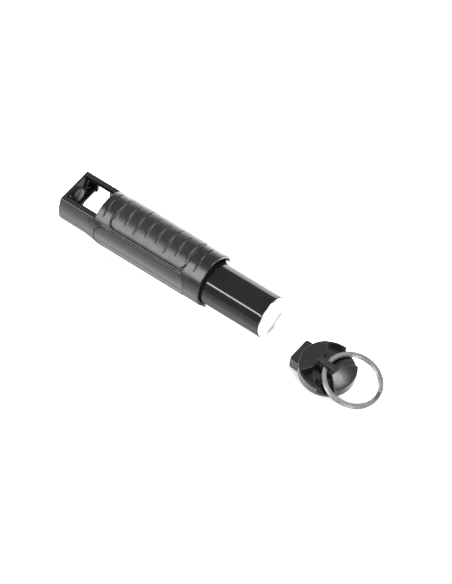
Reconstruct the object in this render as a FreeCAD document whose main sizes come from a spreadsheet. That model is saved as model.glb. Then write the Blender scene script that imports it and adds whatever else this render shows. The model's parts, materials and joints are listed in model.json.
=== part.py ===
import FreeCAD
import Part
import math
import os
import Sketcher

# Keychain holder for a small spray can, drawn as it lies on a table: the can is part way out of the
# housing, and the end cap with its key ring lies free beyond it. Millimetres, +Z up. The origin is at
# the middle of the plan, on the table. The housing's axis runs along X, head end first.

doc = FreeCAD.newDocument("SprayCanHolder")
dims = doc.addObject("Spreadsheet::Sheet", "Dims")

SHEET = [
    # The assembly on the table
    ("head_end", -90.68, "X of the housing's head end"),
    ("plan_shift", 2.78, "Y of the housing's axis"),
    ("axis_height", 13.5, "height of the housing's axis"),
    ("can_seat", 80.0, "from the head end to the base of the seated can"),
    ("can_travel", 37.8, "how far the can is drawn out"),
    ("can_sag", 1.0, "drop of the loose can in its bore"),
    ("can_lean", 0.3, "sideways play taken up by the can"),
    ("cap_reach", 154.8, "from the head end to the cap's middle"),
    ("cap_offset", -5.05, "Y of the cap from the housing's axis"),
    ("cap_tilt", 7.0, "lean of the cap, degrees"),
    ("ring_yaw", 13.0, "turn of the key ring in plan, degrees"),
    # Housing
    ("housing_length", 84.0, "overall"),
    ("grip_radius", 13.5, "outside of the grip and the collar"),
    ("bore_radius", 12.2, "inside of the grip"),
    ("head_length", 20.3, "flat-topped head"),
    ("head_radius", 12.5, "underside of the head"),
    ("head_bore", 11.2, "inside of the head"),
    ("flat_height", 8.8, "flat top above the axis"),
    ("shoulder", 10.3, "half width of the flat top"),
    ("end_wall", 1.2, "thickness of the head's end wall"),
    ("window_half", 7.8, "half width of the thumb window"),
    ("rail_depth", 2.5, "thickness of the window's side rails"),
    ("shelf_end", 4.6, "end of the shelf on the end wall"),
    ("shelf_drop", 2.4, "top of the shelf below the axis"),
    ("shelf_thickness", 1.6, "shelf"),
    ("spray_port_start", 5.4, "front edge of the spray port beside the shelf"),
    ("spray_port_end", 12.6, "rear edge of the spray port"),
    ("spray_port_edge", 4.3, "lower edge of the spray port from the axis"),
    ("rib_width", 0.9, "ribs on the end wall"),
    ("rib_height", 1.1, "ribs on the end wall"),
    ("hub_radius", 1.6, "where the ribs meet"),
    ("hub_side", 6.4, "hub's place across the end wall"),
    ("boss_radius", 3.8, "nose boss"),
    ("boss_height", 2.3, "nose boss"),
    ("boss_round", 1.2, "nose boss edge"),
    ("boss_side", 0.6, "nose boss across the end wall"),
    ("boss_rise", 1.6, "nose boss above the axis"),
    ("slot_depth", 2.5, "bayonet slot in the collar"),
    ("slot_half", 2.2, "half width of the bayonet slot"),
    ("nub_length", 2.0, "bayonet nub on the collar"),
    ("nub_half", 1.6, "half width of the bayonet nub"),
    ("nub_root", 0.5, "nub's root in the collar"),
    ("nub_inner", 12.3, "inside of the nub"),
    ("nub_outer", 13.2, "outside of the nub"),
    # Grip pad, finger panels and grooves
    ("pad_start", 28.5, "grip pad's front edge"),
    ("pad_end", 73.0, "grip pad's rear edge"),
    ("pad_half", 10.1, "half width of the grip pad in plan"),
    ("pad_corner", 3.0, "corner radius in plan"),
    ("pad_floor", 12.9, "radius of the pad's seat"),
    ("pad_crown", 13.8, "outside radius of the pad"),
    ("panel_start", 22.0, "finger panel's front edge"),
    ("panel_end", 75.0, "finger panel's rear edge"),
    ("panel_half", 7.6, "half height of the finger panel"),
    ("panel_corner", 5.0, "corner radius in side view"),
    ("panel_floor", 12.75, "radius of the panel's seat"),
    ("panel_face", 13.15, "outside radius of the panel"),
    ("groove_start", 23.9, "first groove"),
    ("groove_pitch", 6.0, "spacing of the grooves"),
    ("groove_round", 0.75, "radius of a groove's section"),
    ("groove_depth", 0.6, "deepest point of a groove"),
    ("long_drop", 3.07, "centre of a long groove's sweep below the axis"),
    ("short_drop", 6.37, "centre of a short groove's sweep below the axis"),
    # Spray can: stations are measured from its base towards the nozzle
    ("can_radius", 11.0, "outside of the can"),
    ("can_wall", 0.5, "wall of the can"),
    ("can_tube", 53.0, "straight length of the can"),
    ("shoulder_round", 2.0, "rounding of the can's shoulder"),
    ("neck_start", 56.5, "foot of the neck"),
    ("bead_start", 58.3, "foot of the bead"),
    ("bead_end", 59.5, "top of the bead"),
    ("bead_slope", 0.4, "length of the slope below the bead"),
    ("neck_radius", 8.8, "outside of the neck"),
    ("bead_radius", 9.3, "outside of the bead"),
    ("base_rim", 9.7, "foot ring of the base"),
    ("base_knee", 5.0, "radius where the base flattens"),
    ("base_rise", 2.8, "height of the dished base"),
    ("base_plate", 0.6, "thickness of the base"),
    ("ferrule_radius", 9.9, "outside of the valve ferrule"),
    ("ferrule_start", 57.3, "crimped edge of the ferrule"),
    ("ferrule_plate", 60.2, "underside of the ferrule's plate"),
    ("ferrule_top", 60.8, "top of the ferrule"),
    ("ferrule_lip", 8.85, "crimped lip under the bead"),
    ("crimp", 0.5, "length of the crimped lip"),
    ("pedestal_radius", 4.7, "outside of the ferrule's inner skirt"),
    ("pedestal_start", 58.6, "end of the inner skirt"),
    ("ferrule_hole", 1.9, "hole for the stem"),
    ("chamber_radius", 4.3, "outside of the valve chamber"),
    ("chamber_bore", 3.0, "inside of the valve chamber"),
    ("chamber_start", 51.0, "foot of the valve chamber"),
    ("chamber_floor", 52.2, "floor of the valve chamber"),
    ("chamber_top", 59.4, "top of the valve chamber"),
    ("tail_start", 47.0, "end of the tail"),
    ("tail_radius", 1.0, "outside of the tail"),
    ("tail_bore", 0.5, "feed hole"),
    ("tube_radius", 1.5, "outside of the dip tube"),
    ("tube_start", 4.5, "open end of the dip tube"),
    ("tube_end", 50.5, "end of the dip tube on the tail"),
    ("gasket_bore", 1.62, "stem gasket's hole"),
    ("stem_radius", 1.55, "outside of the stem"),
    ("stem_bore", 0.6, "hole in the stem"),
    ("stem_flange", 2.6, "flange of the stem"),
    ("stem_pin", 1.2, "spring guide of the stem"),
    ("stem_foot", 57.4, "end of the spring guide"),
    ("flange_foot", 58.4, "underside of the flange"),
    ("flange_top", 59.38, "top of the flange"),
    ("port_floor", 60.0, "end of the stem's hole"),
    ("stem_end", 66.0, "top of the stem"),
    ("spring_radius", 2.2, "mean radius of the spring"),
    ("spring_wire", 0.25, "radius of the spring wire"),
    ("spring_turns", 6.0, "turns of the spring"),
    ("button_start", 62.0, "skirt of the button"),
    ("button_shoulder", 68.6, "where the button's edge is bevelled"),
    ("button_end", 70.0, "face of the button"),
    ("button_radius", 6.5, "outside of the button"),
    ("button_face", 5.4, "radius of the button's face"),
    ("nozzle_station", 67.2, "nozzle's place along the can"),
    ("nozzle_radius", 1.2, "nozzle insert"),
    ("nozzle_length", 1.8, "nozzle insert"),
    ("orifice_radius", 0.3, "nozzle orifice"),
    # Cap: heights are measured from the plane of its rim
    ("cap_radius", 14.0, "rim of the cap"),
    ("cap_skirt", 5.3, "height of the rim band"),
    ("dome_rise", 2.0, "dome above the rim"),
    ("channel_half", 4.6, "half width of the ring channel"),
    ("straight_lug_side", 5.5, "half length of its straight wall beside the lug"),
    ("straight_ring_side", 3.8, "half length of its straight wall beside the ring"),
    ("channel_end", 15.0, "half length to just beyond the rim"),
    ("mouth_lug_side", 11.5, "half width there beside the lug"),
    ("mouth_ring_side", 17.1, "half width there beside the ring"),
    ("channel_depth", 3.6, "channel floor below the rim"),
    ("lip_inner", 13.15, "inside of the lips across the channel's mouths"),
    ("lip_top", 0.4, "top of the lips below the rim"),
    ("lip_lug_end", 9.4, "both lips' ends beside the lug"),
    ("lip_ring_end", 3.7, "near lip's end beside the ring"),
    ("lip_far_end", 0.5, "far lip's end beside the ring"),
    ("bar_half", 5.6, "half length of the key bar with its ends"),
    ("bar_width", 3.0, "key bar"),
    ("bar_low", 0.85, "underside of the bar above the rim"),
    ("bar_high", 1.85, "top of the bar above the rim"),
    ("lug_reach", 17.4, "end of the lug from the cap's middle"),
    ("lug_root", 12.6, "where the lug leaves the cap"),
    ("lug_width", 13.6, "lug"),
    ("lug_top", 3.0, "top of the lug below the rim"),
    ("lug_bottom", 9.6, "underside of the lug below the rim"),
    ("lug_bevel", 1.0, "bevelled corners of the lug"),
    ("lug_relief", 13.7, "inside of the lug's skirt, which passes over the collar"),
    ("plug_radius", 12.0, "plug that enters the collar"),
    ("plug_bore", 10.4, "inside of the plug"),
    ("plug_floor", 6.1, "floor of the plug below the rim"),
    ("plug_bottom", 8.3, "lower edge of the plug below the rim"),
    ("leg_bottom", 11.05, "tip of the latch leg below the rim"),
    ("leg_inner", 10.9, "inside of the latch leg"),
    ("leg_width", 5.0, "latch leg"),
    ("seal_radius", 13.3, "cap seal"),
    ("seal_bottom", 5.8, "underside of the seal below the rim"),
    ("cushion_bottom", 7.7, "underside of the cushion below the rim"),
    # Key ring
    ("ring_radius", 13.85, "middle of the ring's section"),
    ("ring_half", 1.15, "half width of the section"),
    ("coil_half", 0.95, "half height of the two coils"),
    ("ring_bevel", 0.45, "bevel of the coils"),
    ("coil_gap", 0.25, "groove between the two coils"),
    ("ring_drop", 0.6, "ring's wire below the rim, under the bar"),
    ("ring_back", 0.8, "ring's wire behind the cap's middle, under the bar"),
    ("ring_contact", 1.113, "middle of the wire above the table where the ring rests"),
]

for row, (alias, value, note) in enumerate(SHEET, 1):
    dims.set("A%d" % row, note)
    dims.set("B%d" % row, str(value))
    dims.setAlias("B%d" % row, alias)
doc.recompute()


def size(alias):
    """Value of one cell of the sheet."""
    return float(dims.get(alias))


def bind(obj, **properties):
    """Binds properties to expressions in the sheet's names."""
    for name, expression in properties.items():
        obj.setExpression(name, expression)


# ---- Part primitives, each bound to the sheet ----

def box(name, low, extent):
    """A box from its low corner and its extent, both as three expressions."""
    block = doc.addObject("Part::Box", name)
    bind(block, Length=extent[0], Width=extent[1], Height=extent[2])
    for axis, expression in zip("xyz", low):
        block.setExpression("Placement.Base." + axis, expression)
    return block


def rod(name, direction, radius, length, start=("0", "0", "0")):
    """A cylinder along a row axis from a start point."""
    cylinder = doc.addObject("Part::Cylinder", name)
    bind(cylinder, Radius=radius, Height=length)
    turn = FreeCAD.Rotation(FreeCAD.Vector(0, 0, 1), direction)
    cylinder.Placement = FreeCAD.Placement(FreeCAD.Vector(), turn)
    for axis, expression in zip("xyz", start):
        cylinder.setExpression("Placement.Base." + axis, expression)
    return cylinder


def fuse(name, *shapes):
    """Joins shapes into one."""
    joined = doc.addObject("Part::MultiFuse", name)
    joined.Shapes = list(shapes)
    joined.Refine = True
    return joined


def cut(name, base, *tools):
    """Removes the tools from the base."""
    tool = tools[0] if len(tools) == 1 else fuse(name + "Tools", *tools)
    result = doc.addObject("Part::Cut", name)
    result.Base = base
    result.Tool = tool
    return result


def common(name, first, second):
    """Keeps what two shapes share."""
    result = doc.addObject("Part::MultiCommon", name)
    result.Shapes = [first, second]
    return result


def rounded(name, base, direction, radius):
    """Rounds the edges of a box that run along one axis."""
    doc.recompute()
    fillet = doc.addObject("Part::Fillet", name)
    fillet.Base = base
    chosen = []
    for number, edge in enumerate(base.Shape.Edges, 1):
        along = edge.tangentAt(edge.FirstParameter)
        if abs(along.dot(direction)) > 0.99:
            chosen.append((number, radius, radius))
    fillet.Edges = chosen
    return fillet


X_AXIS = FreeCAD.Vector(1, 0, 0)
Y_AXIS = FreeCAD.Vector(0, 1, 0)
Z_AXIS = FreeCAD.Vector(0, 0, 1)


# ---- PartDesign bodies turned from a straight-sided outline ----

def constrain(sketch, outline):
    """Draws a closed outline of straight lines and holds each corner to two expressions."""
    count = len(outline)
    corners = []
    for index in range(count):
        angle = 2 * math.pi * index / count
        corners.append(FreeCAD.Vector(20 + 5 * math.cos(angle), 20 + 5 * math.sin(angle), 0))
    for index in range(count):
        sketch.addGeometry(Part.LineSegment(corners[index], corners[(index + 1) % count]), False)
    for index in range(count):
        sketch.addConstraint(Sketcher.Constraint("Coincident", index, 2, (index + 1) % count, 1))
    for index, (first, second) in enumerate(outline):
        across = sketch.addConstraint(Sketcher.Constraint("DistanceX", index, 1, corners[index].x))
        sketch.setExpression("Constraints[%d]" % across, first)
        upward = sketch.addConstraint(Sketcher.Constraint("DistanceY", index, 1, corners[index].y))
        sketch.setExpression("Constraints[%d]" % upward, second)


def turned(name, outline, axis="H_Axis"):
    """A body turned about its X axis (H_Axis) or Z axis (V_Axis) from an outline of expressions."""
    body = doc.addObject("PartDesign::Body", name + "Body")
    sketch = body.newObject("Sketcher::SketchObject", name + "Outline")
    plane = [item for item in body.Origin.OriginFeatures if item.Role == "XZ_Plane"][0]
    sketch.AttachmentSupport = [(plane, "")]
    sketch.MapMode = "FlatFace"
    constrain(sketch, outline)
    turn = body.newObject("PartDesign::Revolution", name + "Turn")
    turn.Profile = sketch
    turn.ReferenceAxis = (sketch, [axis])
    turn.Angle = 360
    doc.recompute()
    return body


def round_corner(body, name, station, radius, rounding):
    """Rounds the circular edge of a turned body at one station and radius."""
    base = body.Tip
    chosen = []
    for number, edge in enumerate(base.Shape.Edges, 1):
        curve = edge.Curve
        if not isinstance(curve, Part.Circle):
            continue
        if abs(curve.Radius - radius) < 1e-4 and abs(curve.Center.x - station) < 1e-4:
            chosen.append("Edge%d" % number)
    fillet = body.newObject("PartDesign::Fillet", name)
    fillet.Base = (base, chosen)
    fillet.setExpression("Radius", rounding)
    body.Tip = fillet
    doc.recompute()


# ---- Frames of the four groups ----

def housing_frame():
    """Head end of the housing's axis."""
    return FreeCAD.Placement(
        FreeCAD.Vector(size("head_end"), size("plan_shift"), size("axis_height")), FreeCAD.Rotation())


def can_frame():
    """Middle of the can's base, with X running towards the nozzle."""
    base = FreeCAD.Vector(
        size("head_end") + size("can_seat") + size("can_travel"),
        size("plan_shift") - size("can_lean"),
        size("axis_height") - size("can_sag"))
    return FreeCAD.Placement(base, FreeCAD.Rotation(Z_AXIS, 180))


def cap_frame():
    """Middle of the cap's rim plane, leaning on the plug's edge and the latch leg."""
    tilt = math.radians(size("cap_tilt"))
    height = size("plug_radius") * math.sin(tilt) + size("plug_bottom") * math.cos(tilt)
    base = FreeCAD.Vector(
        size("head_end") + size("cap_reach"), size("plan_shift") + size("cap_offset"), height)
    return FreeCAD.Placement(base, FreeCAD.Rotation(Y_AXIS, size("cap_tilt")))


def ring_frame():
    """Middle of the key ring, which hangs under the bar and rests on the table."""
    pivot = cap_frame().multVec(FreeCAD.Vector(-size("ring_back"), 0, -size("ring_drop")))
    fall = pivot.z - size("ring_contact")
    tilt = math.degrees(math.asin(fall / (2 * size("ring_radius"))))
    turn = FreeCAD.Rotation(Z_AXIS, size("ring_yaw")).multiply(FreeCAD.Rotation(Y_AXIS, tilt))
    hinge = FreeCAD.Placement(pivot, turn)
    return hinge.multiply(
        FreeCAD.Placement(FreeCAD.Vector(size("ring_radius"), 0, 0), FreeCAD.Rotation()))


nodes = []


def finish(obj, label, frame):
    """Names a finished piece and puts it in its place."""
    obj.Label = label
    obj.Placement = frame
    nodes.append(obj)


# ---- Housing: modelled from its head end along X ----

grip_tube = rod("GripTube", X_AXIS, "Dims.grip_radius", "Dims.housing_length - Dims.head_length",
                ("Dims.head_length", "0", "0"))
head_round = rod("HeadRound", X_AXIS, "Dims.head_radius", "Dims.head_length")
head_shoulders = box("HeadShoulders", ("0", "-Dims.shoulder", "0"),
                     ("Dims.head_length", "2 * Dims.shoulder", "Dims.flat_height"))
above_flat = box("AboveFlat", ("0", "-Dims.head_radius", "Dims.flat_height"),
                 ("Dims.head_length", "2 * Dims.head_radius", "Dims.head_radius"))
head_outside = cut("HeadOutside", fuse("HeadBlank", head_round, head_shoulders), above_flat)
outside = fuse("HousingOutside", grip_tube, head_outside)

head_void = rod("HeadVoid", X_AXIS, "Dims.head_bore", "Dims.head_length - Dims.end_wall",
                ("Dims.end_wall", "0", "0"))
grip_void = rod("GripVoid", X_AXIS, "Dims.bore_radius", "Dims.housing_length",
                ("Dims.head_length", "0", "0"))
spray_port = box(
    "SprayPort",
    ("Dims.spray_port_start", "Dims.spray_port_edge", "-Dims.grip_radius"),
    ("Dims.spray_port_end - Dims.spray_port_start", "Dims.grip_radius",
     "Dims.grip_radius + Dims.flat_height - Dims.rail_depth"))
under_shelf = box(
    "UnderShelf",
    ("Dims.end_wall", "Dims.spray_port_edge", "-Dims.grip_radius"),
    ("Dims.spray_port_start - Dims.end_wall", "Dims.grip_radius",
     "Dims.grip_radius - Dims.shelf_drop - Dims.shelf_thickness"))
bayonet_slot = box(
    "BayonetSlot",
    ("Dims.housing_length - Dims.slot_depth", "Dims.head_bore", "-Dims.slot_half"),
    ("2 * Dims.slot_depth", "Dims.grip_radius", "2 * Dims.slot_half"))
hollow = cut("HousingHollow", outside, head_void, grip_void, spray_port, under_shelf,
             bayonet_slot)

rails = []
for rail_name, rail_side in (("NearRail", "-Dims.shoulder"), ("FarRail", "Dims.window_half")):
    rails.append(box(rail_name, ("0", rail_side, "Dims.flat_height - Dims.rail_depth"),
                     ("Dims.head_length", "Dims.shoulder - Dims.window_half", "Dims.rail_depth")))
shelf = common(
    "Shelf",
    box("ShelfBlock", ("0", "-Dims.head_radius", "-Dims.shelf_drop - Dims.shelf_thickness"),
        ("Dims.shelf_end", "2 * Dims.head_radius", "Dims.shelf_thickness")),
    rod("ShelfRound", X_AXIS, "Dims.head_radius", "Dims.shelf_end"))

# Moulded ribs on the end wall: name, start across and above the axis, direction in degrees, length.
RIBS = [
    ("RibUp", "Dims.hub_side", "0", 62, "6"),
    ("RibDown", "Dims.hub_side", "0", -100, "3"),
    ("RibOut", "Dims.hub_side", "0", -25, "4"),
    ("RibNear", "-3.9", "0", 200, "4.5"),
    ("RibCorner", "-3", "4", 125, "4"),
]
ribs = [rod("RibHub", X_AXIS, "Dims.hub_radius", "Dims.rib_height + Dims.end_wall",
            ("0", "Dims.hub_side", "0"))]
for rib_name, across, above, direction, length in RIBS:
    rib = box(rib_name, ("0", across, above),
              ("Dims.end_wall + Dims.rib_height", length, "Dims.rib_width"))
    rib.Placement.Rotation = FreeCAD.Rotation(X_AXIS, direction)
    ribs.append(rib)

nub_wall = cut(
    "NubWall",
    rod("NubOutside", X_AXIS, "Dims.nub_outer", "Dims.nub_root + Dims.nub_length",
        ("Dims.housing_length - Dims.nub_root", "0", "0")),
    rod("NubInside", X_AXIS, "Dims.nub_inner", "Dims.nub_root + Dims.nub_length",
        ("Dims.housing_length - Dims.nub_root", "0", "0")))
nub_sector = box("NubSector", ("Dims.housing_length - Dims.nub_root", "0", "0"),
                 ("Dims.nub_root + Dims.nub_length", "Dims.grip_radius", "2 * Dims.nub_half"))
NUB_DIRECTION = 218
nub_sector.Placement.Rotation = FreeCAD.Rotation(X_AXIS, NUB_DIRECTION)
nub = common("Nub", nub_wall, nub_sector)

thumb_window = box("ThumbWindow", ("Dims.end_wall", "-Dims.window_half", "0"),
                   ("Dims.head_length - Dims.end_wall", "2 * Dims.window_half", "Dims.head_radius"))
moulding = cut("Moulding", fuse("MouldingFilled", hollow, shelf, nub, *rails), thumb_window)
moulding_ribbed = fuse("MouldingRibbed", moulding, *ribs)

# Grip pad and the finger panels are inlays: each seat in the housing is its inlay's own outline.

def annulus(name, inner, outer):
    """A long tube on the housing's axis."""
    return cut(name, rod(name + "Outside", X_AXIS, outer, "Dims.housing_length"),
               rod(name + "Inside", X_AXIS, inner, "Dims.housing_length"))


pad_column = rounded(
    "PadColumn",
    box("PadBlock", ("Dims.pad_start", "-Dims.pad_half", "0"),
        ("Dims.pad_end - Dims.pad_start", "2 * Dims.pad_half", "2 * Dims.grip_radius")),
    Z_AXIS, size("pad_corner"))
pad_blank = common("PadBlank", annulus("PadRing", "Dims.pad_floor", "Dims.pad_crown"), pad_column)

panel_seats = []
panels = []
for side_name, panel_side in (("Near", "-2 * Dims.grip_radius"), ("Far", "0")):
    panel_column = rounded(
        side_name + "Column",
        box(side_name + "Block", ("Dims.panel_start", panel_side, "-Dims.panel_half"),
            ("Dims.panel_end - Dims.panel_start", "2 * Dims.grip_radius", "2 * Dims.panel_half")),
        Y_AXIS, size("panel_corner"))
    seat_ring = annulus(side_name + "SeatRing", "Dims.panel_floor", "2 * Dims.grip_radius")
    panel_seats.append(common(side_name + "Seat", seat_ring, panel_column))
    face_ring = annulus(side_name + "FaceRing", "Dims.panel_floor", "Dims.panel_face")
    panels.append(common(side_name + "Panel", face_ring, panel_column))


def groove(number, host_radius):
    """One grip groove: a ring sunk into the crown, whose ends run out at the surface."""
    drop = "Dims.long_drop" if number % 3 == 0 else "Dims.short_drop"
    ring = doc.addObject("Part::Torus", "Groove%d" % number)
    bind(ring, Radius2="Dims.groove_round",
         Radius1=host_radius + " - Dims.groove_depth + Dims.groove_round + " + drop)
    ring.Placement = FreeCAD.Placement(FreeCAD.Vector(), FreeCAD.Rotation(Z_AXIS, X_AXIS))
    ring.setExpression("Placement.Base.x", "Dims.groove_start + %d * Dims.groove_pitch" % number)
    ring.setExpression("Placement.Base.z", "-" + drop)
    return ring


GROOVES = 10
pad_grooves = []
shell_grooves = []
for number in range(GROOVES):
    station = size("groove_start") + number * size("groove_pitch")
    if size("pad_start") < station < size("pad_end"):
        pad_grooves.append(groove(number, "Dims.pad_crown"))
    else:
        shell_grooves.append(groove(number, "Dims.grip_radius"))

HOUSING = housing_frame()
shell = cut("HousingShell", moulding_ribbed, pad_blank, *panel_seats, *shell_grooves)
finish(shell, "housing_shell", HOUSING)
finish(cut("GripPad", pad_blank, *pad_grooves), "grip_pad", HOUSING)
finish(panels[0], "finger_panel_near", HOUSING)
finish(panels[1], "finger_panel_far", HOUSING)

boss = turned("NoseBoss", [
    ("Dims.end_wall", "0"),
    ("Dims.end_wall", "Dims.boss_radius"),
    ("Dims.end_wall + Dims.boss_height", "Dims.boss_radius"),
    ("Dims.end_wall + Dims.boss_height", "0"),
])
round_corner(boss, "NoseBossRound", size("end_wall") + size("boss_height"), size("boss_radius"),
             "Dims.boss_round")
boss_place = FreeCAD.Placement(
    FreeCAD.Vector(0, size("boss_side"), size("boss_rise")), FreeCAD.Rotation())
finish(boss, "nose_boss", HOUSING.multiply(boss_place))


# ---- Spray can: modelled from its base towards the nozzle ----

CAN = can_frame()

can_body = turned("CanTube", [
    ("0", "Dims.can_radius"),
    ("Dims.can_tube", "Dims.can_radius"),
    ("Dims.neck_start", "Dims.neck_radius"),
    ("Dims.bead_start - Dims.bead_slope", "Dims.neck_radius"),
    ("Dims.bead_start", "Dims.bead_radius"),
    ("Dims.bead_end", "Dims.bead_radius"),
    ("Dims.bead_end", "Dims.neck_radius - Dims.can_wall"),
    ("Dims.neck_start", "Dims.neck_radius - Dims.can_wall"),
    ("Dims.can_tube", "Dims.can_radius - Dims.can_wall"),
    ("0", "Dims.can_radius - Dims.can_wall"),
])
round_corner(can_body, "CanShoulder", size("can_tube"), size("can_radius"), "Dims.shoulder_round")
finish(can_body, "can_body", CAN)

finish(turned("CanBase", [
    ("0", "Dims.can_radius - Dims.can_wall"),
    ("0", "Dims.base_rim"),
    ("Dims.base_rise - Dims.base_plate", "Dims.base_knee"),
    ("Dims.base_rise", "0"),
    ("Dims.base_rise + Dims.base_plate", "0"),
    ("Dims.base_rise", "Dims.base_knee"),
    ("2 * Dims.base_plate", "Dims.can_radius - Dims.can_wall"),
]), "can_base", CAN)

finish(turned("ValveCup", [
    ("Dims.ferrule_start", "Dims.ferrule_lip"),
    ("Dims.ferrule_start", "Dims.ferrule_radius"),
    ("Dims.ferrule_top", "Dims.ferrule_radius"),
    ("Dims.ferrule_top", "Dims.ferrule_hole"),
    ("Dims.ferrule_plate", "Dims.ferrule_hole"),
    ("Dims.ferrule_plate", "Dims.chamber_radius"),
    ("Dims.pedestal_start", "Dims.chamber_radius"),
    ("Dims.pedestal_start", "Dims.pedestal_radius"),
    ("Dims.ferrule_plate", "Dims.pedestal_radius"),
    ("Dims.ferrule_plate", "Dims.bead_radius"),
    ("Dims.ferrule_start + Dims.crimp", "Dims.bead_radius"),
    ("Dims.ferrule_start + Dims.crimp", "Dims.ferrule_lip"),
]), "valve_cup", CAN)

finish(turned("CupGasket", [
    ("Dims.bead_end", "Dims.pedestal_radius"),
    ("Dims.bead_end", "Dims.bead_radius"),
    ("Dims.ferrule_plate", "Dims.bead_radius"),
    ("Dims.ferrule_plate", "Dims.pedestal_radius"),
]), "cup_gasket", CAN)

finish(turned("ValveHousing", [
    ("Dims.tail_start", "Dims.tail_bore"),
    ("Dims.tail_start", "Dims.tail_radius"),
    ("Dims.chamber_start", "Dims.tail_radius"),
    ("Dims.chamber_start", "Dims.chamber_radius"),
    ("Dims.chamber_top", "Dims.chamber_radius"),
    ("Dims.chamber_top", "Dims.chamber_bore"),
    ("Dims.chamber_floor", "Dims.chamber_bore"),
    ("Dims.chamber_floor", "Dims.tail_bore"),
]), "valve_housing", CAN)

finish(turned("StemGasket", [
    ("Dims.chamber_top", "Dims.gasket_bore"),
    ("Dims.chamber_top", "Dims.chamber_radius"),
    ("Dims.ferrule_plate", "Dims.chamber_radius"),
    ("Dims.ferrule_plate", "Dims.gasket_bore"),
]), "stem_gasket", CAN)

finish(turned("DipTube", [
    ("Dims.tube_start", "Dims.tail_radius"),
    ("Dims.tube_start", "Dims.tube_radius"),
    ("Dims.tube_end", "Dims.tube_radius"),
    ("Dims.tube_end", "Dims.tail_radius"),
]), "dip_tube", CAN)

finish(turned("ValveStem", [
    ("Dims.stem_foot", "0"),
    ("Dims.stem_foot", "Dims.stem_pin"),
    ("Dims.flange_foot", "Dims.stem_pin"),
    ("Dims.flange_foot", "Dims.stem_flange"),
    ("Dims.flange_top", "Dims.stem_flange"),
    ("Dims.flange_top", "Dims.stem_radius"),
    ("Dims.stem_end", "Dims.stem_radius"),
    ("Dims.stem_end", "Dims.stem_bore"),
    ("Dims.port_floor", "Dims.stem_bore"),
    ("Dims.port_floor", "0"),
]), "valve_stem", CAN)

# The spring's wire is swept along a helix, which stands on the chamber's floor.
spring_low = size("chamber_floor") + size("spring_wire")
spring_height = size("flange_foot") - size("spring_wire") - spring_low
helix = Part.makeHelix(spring_height / size("spring_turns"), spring_height, size("spring_radius"))
wire_circle = Part.Circle(FreeCAD.Vector(size("spring_radius"), 0, 0), Y_AXIS, size("spring_wire"))
coil = Part.Wire(helix).makePipeShell([Part.Wire(wire_circle.toShape())], True, True)
spring = doc.addObject("Part::Feature", "ValveSpring")
spring.Shape = coil
spring_place = FreeCAD.Placement(
    FreeCAD.Vector(spring_low, 0, 0), FreeCAD.Rotation(Y_AXIS, 90))
finish(spring, "valve_spring", CAN.multiply(spring_place))

button_round = turned("Button", [
    ("Dims.button_start", "Dims.stem_radius"),
    ("Dims.button_start", "Dims.button_radius"),
    ("Dims.button_shoulder", "Dims.button_radius"),
    ("Dims.button_end", "Dims.button_face"),
    ("Dims.button_end", "0"),
    ("Dims.stem_end", "0"),
    ("Dims.stem_end", "Dims.stem_radius"),
])
NOZZLE_START = ("Dims.nozzle_station", "Dims.nozzle_length - Dims.button_radius", "0")
nozzle_seat = rod("NozzleSeat", -Y_AXIS, "Dims.nozzle_radius", "2 * Dims.nozzle_length", NOZZLE_START)
finish(cut("ActuatorButton", button_round, nozzle_seat), "actuator_button", CAN)
nozzle_plug = rod("NozzlePlug", -Y_AXIS, "Dims.nozzle_radius", "Dims.nozzle_length", NOZZLE_START)
orifice = rod("Orifice", -Y_AXIS, "Dims.orifice_radius", "2 * Dims.nozzle_length", NOZZLE_START)
finish(cut("NozzleInsert", nozzle_plug, orifice), "nozzle_insert", CAN)


# ---- Cap: modelled about the middle of its rim plane, dome upwards ----

CAP = cap_frame()

cap_round = rod("CapRound", Z_AXIS, "Dims.cap_radius", "Dims.cap_skirt + Dims.dome_rise",
                ("0", "0", "-Dims.cap_skirt"))
dome = doc.addObject("Part::Sphere", "Dome")
DOME_RADIUS = "(Dims.cap_radius ^ 2 + Dims.dome_rise ^ 2) / (2 * Dims.dome_rise)"
bind(dome, Radius=DOME_RADIUS)
dome.setExpression("Placement.Base.z", "Dims.dome_rise - " + DOME_RADIUS)
cap_domed = common("CapDomed", cap_round, dome)

lug_block = box("LugBlock", ("-Dims.lug_reach", "-Dims.lug_width / 2", "-Dims.lug_bottom"),
                ("Dims.lug_reach - Dims.lug_root", "Dims.lug_width",
                 "Dims.lug_bottom - Dims.lug_top"))
doc.recompute()
lug_bevelled = doc.addObject("Part::Chamfer", "LugBevelled")
lug_bevelled.Base = lug_block
lug_edges = []
for number, edge in enumerate(lug_block.Shape.Edges, 1):
    upright = abs(edge.tangentAt(edge.FirstParameter).z) > 0.99
    if upright and edge.CenterOfMass.x < -size("lug_reach") + 1e-3:
        lug_edges.append((number, size("lug_bevel"), size("lug_bevel")))
lug_bevelled.Edges = lug_edges
lug_relief = rod("LugRelief", Z_AXIS, "Dims.lug_relief", "Dims.lug_bottom",
                 ("0", "0", "-Dims.cap_skirt - Dims.lug_bottom"))
lug = cut("Lug", lug_bevelled, lug_relief)

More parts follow.
